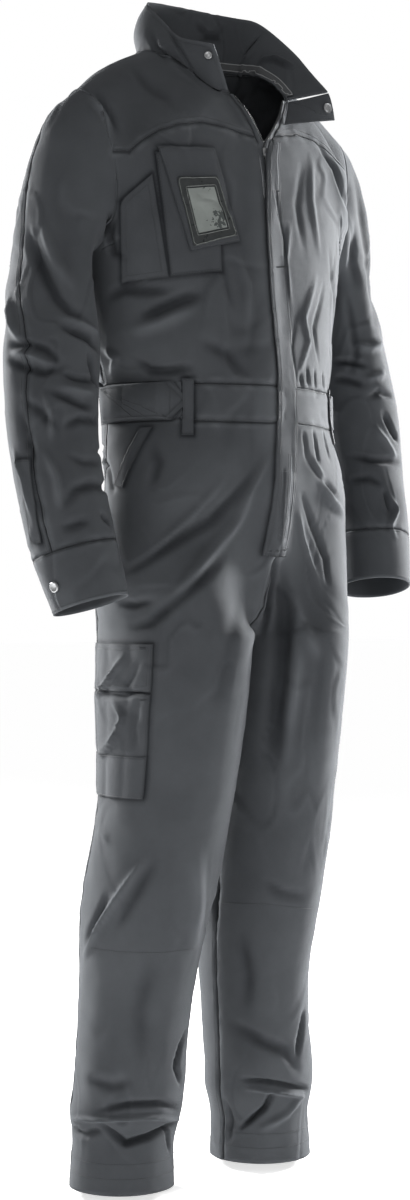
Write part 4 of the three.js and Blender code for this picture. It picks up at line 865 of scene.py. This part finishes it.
# Slanted hand pocket on the right hip: its doubled twill welt, stitched down on the leg's front.
# The mouth behind it is closed, as the photograph shows it.
overlay("side_pocket_welt", (0.019, 0.083), 0.0015, BODY_WRAP, hug=0.3)


# Thigh pocket on the outside of the right leg: a patch of twill under a doubled flap, with a
# second layer over its foot, all topstitched and tacked at the corners.
overlay("thigh_flap", (0.175, 0.062), 0.0105, LEG_WRAP, levels=3, hug=0.3)
overlay("thigh_pocket", (0.175, 0.135), 0.0216, LEG_WRAP, levels=3, hug=0.3, puff=0.0006)
overlay("thigh_panel", (0.165, 0.056), 0.0088, LEG_WRAP, levels=3, hug=0.1)


# Sleeve plackets: folded strips of twill that bind the slits above the cuffs. They are stitched
# down beside the back seam.
for side, x in (("right", -0.26), ("left", 0.26)):
    overlay(f"sleeve_placket_{side}", (0.021, 0.112), 0.0023, (x, -0.02, 0.06), hug=0.3)


# Neck tape: a woven tape with pale selvedges, sewn over the seam inside the collar. It is moved
# along with the creased cloth that it lies on.
neck_tape = show("neck_tape_cloth", soft_copy("neck_tape", 2))
tape_places = coordinates(neck_tape.data)
for i, place in enumerate(tape_places):
    nearest = flat_tree.find(place)[1]
    tape_places[i] += skin_places[nearest] - skin_flat[nearest]
move_vertices(neck_tape.data, tape_places)
weave_map(neck_tape.data, (0, 0, 0.09))
TAPE = cloth_finish("tape", (0.05, 0.053, 0.057), (0.17, 0.175, 0.18), rib=700)
cloth_piece(neck_tape, "neck_tape", finish=TAPE)


# Metal: nickel snaps on the cuffs, collar and flap top, each a pressed cap with a rolled rim,
# and the zip's slider and pull, which keep their own shapes.
NICKEL = speckled("nickel", (0.34, 0.345, 0.35), (0.72, 0.73, 0.74), 300, 0.36, 2600, 0.0001, 1.0)
CAP_SIDES = 32
CAP_SECTION = [(0, 0.5), (0.42, 0.5), (0.58, 0.62), (0.72, 0.98), (0.86, 1.0), (0.98, 0.7), (1, 0)]


def snap_cap(node, on_cloth=True):
    """The pressed cap of a snap, in the place of its node's plain disc."""
    places = coordinates(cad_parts[node].data)
    middle = (places.min(axis=0) + places.max(axis=0)) / 2
    spot, normal = cloth_under(middle)
    out = Vector(np.linalg.svd(places - places.mean(axis=0))[2][2])
    if out.dot(normal) < 0:
        out.negate()
    heights = (places - middle) @ np.array(out)
    radius = np.linalg.norm(places - middle - heights[:, None] * np.array(out), axis=1).max()
    nearest = flat_tree.find(middle)[1]
    shift = Vector(skin_places[nearest] - skin_flat[nearest]) if on_cloth else Vector((0, 0, 0))
    bm = bmesh.new()
    section = [bm.verts.new((x * radius, 0, z * np.ptp(heights))) for x, z in CAP_SECTION]
    for lower, upper in zip(section, section[1:]):
        bm.edges.new((lower, upper))
    bmesh.ops.spin(
        bm, geom=bm.verts[:] + bm.edges[:], cent=(0, 0, 0), axis=(0, 0, 1), dvec=(0, 0, 0),
        angle=2 * math.pi, steps=CAP_SIDES, use_merge=True, use_duplicate=False)
    bmesh.ops.remove_doubles(bm, verts=bm.verts, dist=1e-6)
    bmesh.ops.recalc_face_normals(bm, faces=bm.faces)
    foot = Vector(middle) + shift + out * heights.min()
    bm.transform(Matrix.Translation(foot) @ out.to_track_quat("Z", "Y").to_matrix().to_4x4())
    for face in bm.faces:
        face.smooth = True
    mesh = bpy.data.meshes.new(node)
    bm.to_mesh(mesh)
    bm.free()
    hard_piece(show(node + "_cap", mesh), node, NICKEL)


snap_cap("cuff_snap_right")
snap_cap("cuff_snap_left")
snap_cap("snap_stud")
snap_cap("snap_socket", on_cloth=False)
for node in ("zip_slider", "zip_pull"):
    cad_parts[node].data.materials.clear()
    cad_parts[node].data.materials.append(NICKEL)


# Topstitching: rows of grey thread along the felled seams, hems and edges, sewn through the cloth.
# A row runs at its own inset from a seam or an edge, and its stitches lie on the creased cloth.
STITCH = 0.0036
THREAD_RADIUS = 0.00034
THREAD_LIFT = 0.00012


def runs_of(edges):
    """Edges put end to end: runs of vertex numbers."""
    links = {}
    for a, b in edges:
        links.setdefault(a, []).append(b)
        links.setdefault(b, []).append(a)
    runs = []
    for start in [v for v in links if len(links[v]) == 1] + list(links):
        run = [start]
        while links[run[-1]]:
            step = links[run[-1]].pop()
            links[step].remove(run[-1])
            run.append(step)
        if len(run) > 4:
            runs.append(run)
    return runs


def row_beside(points, inset, tree):
    """A row on the cloth of tree, at its inset from an edge or a seam that runs through points."""
    along = np.gradient(points, axis=0)
    rows = []
    for sign in (1, -1):
        row = []
        off = 0
        for point, heading in zip(points, along):
            aside = tree.find_nearest(Vector(point))[1].cross(Vector(heading)).normalized()
            spot, _, _, gap = tree.find_nearest(Vector(point) + aside * sign * inset)
            off += gap
            row.append(spot)
        rows.append((off, row))
    row = np.array(min(rows, key=lambda found: found[0])[1])
    return row[distance_to_line(row, points)[0] > 0.85 * inset]


def sew(thread, row, tree, pitch=STITCH):
    """Stitches of thread along a row, each laid down on the cloth."""
    if len(row) < 3:
        return
    reached = np.concatenate([[0], np.cumsum(np.linalg.norm(np.diff(row, axis=0), axis=1))])
    for k in range(int(reached[-1] / pitch)):
        stitch = thread.splines.new("POLY")
        stitch.points.add(1)
        for point, part in zip(stitch.points, (0.14, 0.86)):
            place = [np.interp((k + part) * pitch, reached, row[:, axis]) for axis in range(3)]
            spot, out, _, _ = tree.find_nearest(Vector(place))
            point.co = (*(spot + out * THREAD_LIFT), 1)


def thread_curve(name):
    thread = bpy.data.curves.new(name, "CURVE")
    thread.dimensions = "3D"
    thread.bevel_depth = THREAD_RADIUS
    thread.bevel_resolution = 0
    thread.use_fill_caps = True
    return thread


def sewn(thread):
    """The finished stitches, as a mesh in thread's own finish."""
    obj = show(thread.name, finished_mesh(show(thread.name + "_rows", thread)))
    in_finish(obj, THREAD)


THREAD = speckled("thread", (0.035, 0.038, 0.043), (0.085, 0.09, 0.097), 90, 0.6, 2400, 0.0001)
panel_trees = {}
open_edges = {}
edge_owners = {}
for face, corners in enumerate(skin_faces):
    for a, b in zip(corners, corners[1:] + corners[:1]):
        edge_owners.setdefault((min(a, b), max(a, b)), []).append(face)
for edge, owners in edge_owners.items():
    if len(owners) == 1:
        open_edges.setdefault(panel_names[skin_panels[owners[0]]], []).append(edge)
for number, panel in enumerate(SKIN):
    own = [skin_faces[face] for face in np.where(skin_panels == number)[0]]
    panel_trees[panel] = surface_tree(skin_places, own)

# Rows along seams, each on the first panel that is named, by their insets
DOUBLE = (0.0018, 0.0078)
SEAM_ROWS = {
    "body": [
        ("yoke", "front_right", DOUBLE),
        ("yoke", "front_left", DOUBLE),
        ("yoke", "back", DOUBLE),
        ("front_right", "back", DOUBLE),
        ("front_left", "back", DOUBLE),
        ("front_right", "zip_right", (0.002,)),
        ("front_left", "zip_left", (0.002,)),
        ("yoke", "zip_right", (0.002,)),
        ("yoke", "zip_left", (0.002,)),
        ("waistband_right", "front_right", (0.002,)),
        ("waistband_left", "front_left", (0.002,)),
        ("waistband_right", "front_leg_right", (0.002,)),
        ("waistband_left", "front_leg_left", (0.002,)),
    ],
    "legs": [
        ("back_leg_right", "front_leg_right", DOUBLE),
        ("back_leg_left", "front_leg_left", DOUBLE),
        ("front_leg_right", "front_leg_left", DOUBLE),
    ],
    "sleeves": [
        ("sleeve_back_right", "sleeve_front_right", DOUBLE),
        ("sleeve_back_left", "sleeve_front_left", DOUBLE),
        ("cuff_right", "sleeve_front_right", (0.002,)),
        ("cuff_left", "sleeve_front_left", (0.002,)),
        ("cuff_right", "sleeve_back_right", (0.002,)),
        ("cuff_left", "sleeve_back_left", (0.002,)),
    ],
}
HEM_LINE = -1.47
for group, rows in SEAM_ROWS.items():
    thread = thread_curve("stitches_" + group)
    for panel, beside, insets in rows:
        edges = seams.get((panel, beside)) or seams[beside, panel]
        for run in runs_of(edges):
            for inset in insets:
                tree = panel_trees[panel]
                sew(thread, row_beside(skin_places[run], inset, tree), tree)
    for panel, edges in open_edges.items():
        insets = ()
        if group == "body" and panel == "collar":
            insets = (0.0055,)
        if group == "sleeves" and panel.startswith("cuff"):
            insets = (0.004,)
        if group == "legs" and "leg" in panel:
            edges = [edge for edge in edges if max(skin_flat[v][2] for v in edge) < HEM_LINE]
            insets = (0.021, 0.04)
        for run in runs_of(edges) if insets else ():
            for inset in insets:
                tree = panel_trees[panel]
                sew(thread, row_beside(skin_places[run], inset, tree), tree)
    sewn(thread)

# Rows round the pieces that are sewn on, by their insets
PIECE_ROWS = {
    "storm_flap": (0.0018, 0.0065),
    "flap_top": (0.0018,),
    "waist_tab_right": (0.0018,),
    "waist_tab_left": (0.0018,),
    "belt_loop_right": (0.002,),
    "belt_loop_left": (0.002,),
    "chest_pocket": (0.0018, 0.0075),
    "badge_pocket": (0.0018,),
    "badge_flap": (0.0022,),
    "side_pocket_welt": (0.0016,),
    "thigh_flap": (0.0018, 0.0075),
    "thigh_pocket": (0.0018,),
    "thigh_panel": (0.0018,),
    "sleeve_placket_right": (0.0018,),
    "sleeve_placket_left": (0.0018,),
}


def upper_side(mesh, facing=1):
    """The side of a laid piece that looks away from the skin, as a tree, and the edges round it."""
    faces = [tuple(polygon.vertices) for polygon in mesh.polygons]
    upper = [
        face for face, polygon in zip(faces, mesh.polygons)
        if skin_tree.find_nearest(polygon.center)[1].dot(polygon.normal) * facing > 0.5
    ]
    found = {}
    for face in upper:
        for a, b in zip(face, face[1:] + face[:1]):
            found.setdefault((min(a, b), max(a, b)), []).append(face)
    rim = [edge for edge, owners in found.items() if len(owners) == 1]
    return surface_tree(coordinates(mesh), upper), rim


thread = thread_curve("stitches_pieces")
piece_trees = {"skin": skin_tree}
for node, insets in PIECE_ROWS.items():
    mesh = bpy.data.objects[node + "_cloth"].data
    tree, rim = upper_side(mesh)
    piece_trees[node] = tree
    for run in runs_of(rim):
        for inset in insets:
            sew(thread, row_beside(coordinates(mesh)[run], inset, tree), tree)

# Rows that cross a piece: the knee seams on the skin, and the slots of the waist tab
LINES = [
    ("skin", [(89, 948), (120, 952), (160, 953), (197, 949)]),
    ("skin", [(222, 903), (260, 904), (312, 909)]),
    ("waist_tab_right", [(136, 393), (137, 428)]),
    ("waist_tab_right", [(148, 392), (149, 428)]),
    ("waist_tab_right", [(168, 391), (169, 427)]),
]
for node, pixels in LINES:
    tree = piece_trees[node]
    row = np.array([tree.find_nearest(spot)[0] for spot, _ in crease_path(pixels)])
    sew(thread, row, tree)

# Bar tacks: short satin bars at the storm flap's foot and middle, and on the thigh pocket's corners
TACKS = [
    ("storm_flap", (268, 549), (286, 548)),
    ("storm_flap", (268, 557), (286, 556)),
    ("storm_flap", (272, 268), (286, 267)),
    ("thigh_flap", (140, 648), (147, 648)),
    ("thigh_pocket", (141, 700), (148, 700)),
    ("thigh_pocket", (142, 757), (149, 757)),
    ("badge_flap", (157, 149), (164, 149)),
    ("side_pocket_welt", (132, 470), (138, 470)),
]
TACK_PITCH = 0.0006
TACK_HALF = 0.0009
for node, start, end in TACKS:
    a, b = (pixel_on_cloth(*spot)[0] for spot in (start, end))
    steps = round((b - a).length / TACK_PITCH)
    bar = thread.splines.new("POLY")
    bar.points.add(steps)
    for k, point in enumerate(bar.points):
        spot, out, _, _ = piece_trees[node].find_nearest(a.lerp(b, k / steps))
        aside = out.cross(b - a).normalized() * TACK_HALF * (-1) ** k
        point.co = (*(spot + aside + out * THREAD_LIFT), 1)
sewn(thread)


# Edge lines: pale plastic beads moulded round the badge window's binding, and the pale selvedges
# woven into the two sides of the neck tape.
EDGE_LINE = 0.0006
EDGE_INSET = 0.0013
BEAD = speckled("bead", (0.07, 0.077, 0.075), (0.24, 0.255, 0.245), 200, 0.25, 900, 0.0001)
SELVEDGE = speckled("selvedge", (0.3, 0.31, 0.32), (0.55, 0.56, 0.57), 200, 0.8, 1800, 0.0001)


def edge_lines(name, mesh, finish, facing=1):
    """Round lines along the edges of a laid piece, closed where its edge is a ring."""
    upper, rim = upper_side(mesh, facing)
    curve = bpy.data.curves.new(name, "CURVE")
    curve.dimensions = "3D"
    curve.bevel_depth = EDGE_LINE
    curve.bevel_resolution = 2
    for run in runs_of(rim):
        row = row_beside(coordinates(mesh)[run], EDGE_INSET, upper)
        line = curve.splines.new("POLY")
        line.points.add(len(row) - 1)
        line.use_cyclic_u = run[0] == run[-1]
        for point, place in zip(line.points, row):
            point.co = (*place, 1)
    in_finish(show(name, finished_mesh(show(name + "_rows", curve))), finish)


edge_lines("binding_beads", binding.data, BEAD)
edge_lines("tape_selvedges", neck_tape.data, SELVEDGE, facing=-1)


# Zip: rows of metal teeth clamped on the edges of the two tapes. They stand apart along the V and
# mesh below it, under the storm flap.
TOOTH = (0.0030, 0.0012, 0.0015)
TOOTH_PITCH = 0.0026
TOOTH_LIFT = 0.0006
ZIP_METAL = speckled(
    "zip_metal", (0.06, 0.062, 0.065), (0.22, 0.225, 0.23), 300, 0.42, 2600, 0.0001, 1.0)


def set_teeth(bm, points, tree, shift):
    """Teeth at one pitch along an edge, each lying across it."""
    reached = np.concatenate([[0], np.cumsum(np.linalg.norm(np.diff(points, axis=0), axis=1))])
    for k in range(int(reached[-1] / TOOTH_PITCH)):
        ends = []
        for part in (0, 0.5):
            way = (k + part + shift) * TOOTH_PITCH
            ends.append(Vector([np.interp(way, reached, points[:, axis]) for axis in range(3)]))
        out = tree.find_nearest(ends[0])[1]
        along = (ends[1] - ends[0]).normalized()
        across = out.cross(along).normalized()
        turn = Matrix((across, along, out)).transposed().to_4x4()
        stand = Matrix.Translation(ends[0] + out * TOOTH_LIFT)
        bmesh.ops.create_cube(bm, size=1, matrix=stand @ turn @ Matrix.Diagonal((*TOOTH, 1)))


teeth = bmesh.new()
for shift, side in enumerate(("right", "left")):
    panel = "zip_" + side
    v_edges = []
    for a, b in open_edges[panel]:
        step = skin_flat[b] - skin_flat[a]
        if max(skin_flat[a][2], skin_flat[b][2]) > V_FOOT and abs(step[2]) > 0.5 * np.linalg.norm(step):
            v_edges.append((a, b))
    for run in runs_of(v_edges):
        set_teeth(teeth, skin_places[run], panel_trees[panel], 0)
    for run in runs_of(seams["zip_right", "zip_left"]):
        set_teeth(teeth, skin_places[run], panel_trees[panel], shift / 2)
bmesh.ops.bevel(
    teeth, geom=teeth.edges[:], offset=0.00025, offset_type="OFFSET", segments=1, profile=0.5,
    affect="EDGES", material=-1)
teeth_mesh = bpy.data.meshes.new("zip_teeth")
teeth.to_mesh(teeth_mesh)
teeth.free()
in_finish(show("zip_teeth", teeth_mesh), ZIP_METAL)


# Floor and light: a pale floor just under the hems, a large lamp behind the suit's left side, a
# smaller one behind its right side, and a weak one in front.
FLOOR = -1.508
KEY = (VIEW_RIGHT * 2.55 + VIEW_AHEAD * 2.0 + Vector((0, 0, 0.8)), 0.9, 345)
FILL = (VIEW_AHEAD * -3.4 - VIEW_RIGHT * 1.6 + Vector((0, 0, 1.6)), 2.0, 10)
RIM = (VIEW_RIGHT * -2.2 + VIEW_AHEAD * 1.7 + Vector((0, 0, 0.8)), 0.7, 190)

floor_bm = bmesh.new()
bmesh.ops.create_grid(floor_bm, x_segments=1, y_segments=1, size=30)
bmesh.ops.translate(floor_bm, verts=floor_bm.verts, vec=(0, 0, FLOOR))
floor_mesh = bpy.data.meshes.new("floor")
floor_bm.to_mesh(floor_mesh)
floor = show("floor", floor_mesh)
floor_finish = bpy.data.materials.new("floor")
floor_finish.use_nodes = True
floor_nodes = floor_finish.node_tree.nodes
floor_shader = floor_nodes["Principled BSDF"]
floor_shader.inputs["Base Color"].default_value = (0.9, 0.9, 0.9, 1)
floor_shader.inputs["Roughness"].default_value = 0.9
floor_shader.inputs["Emission Color"].default_value = (1, 1, 1, 1)
seen_by = add_node(floor_nodes, "LightPath", {})
glow = add_node(floor_nodes, "Math", {1: 0.7}, operation="MULTIPLY")
connect(
    floor_nodes,
    (seen_by.outputs["Is Camera Ray"], glow.inputs[0]),
    (glow.outputs[0], floor_shader.inputs["Emission Strength"]),
)
floor_mesh.materials.append(floor_finish)

for name, (spot, size, power) in {"key": KEY, "fill": FILL, "rim": RIM}.items():
    lamp = bpy.data.lights.new(name, "AREA")
    lamp.size = size
    lamp.energy = power
    holder = bpy.data.objects.new(name, lamp)
    bpy.context.scene.collection.objects.link(holder)
    holder.location = VIEW_MIDDLE + spot
    holder.rotation_euler = (-spot).to_track_quat("-Z", "Y").to_euler()

# The air round the floor is white where the camera sees it and lights the suit softly elsewhere.
SOFT_LIGHT = 0.32
world = bpy.data.worlds.new("studio")
world.use_nodes = True
sky = world.node_tree.nodes
seen = add_node(sky, "Background", {"Color": (1, 1, 1, 1), "Strength": 1.0})
sky["Background"].inputs["Color"].default_value = (1, 1, 1, 1)
sky["Background"].inputs["Strength"].default_value = SOFT_LIGHT
which = add_node(sky, "LightPath", {})
choice = add_node(sky, "MixShader", {})
connect(
    sky,
    (which.outputs["Is Camera Ray"], choice.inputs[0]),
    (sky["Background"].outputs[0], choice.inputs[1]),
    (seen.outputs[0], choice.inputs[2]),
    (choice.outputs[0], sky["World Output"].inputs["Surface"]),
)
bpy.context.scene.world = world
bpy.context.scene.view_settings.view_transform = "Standard"
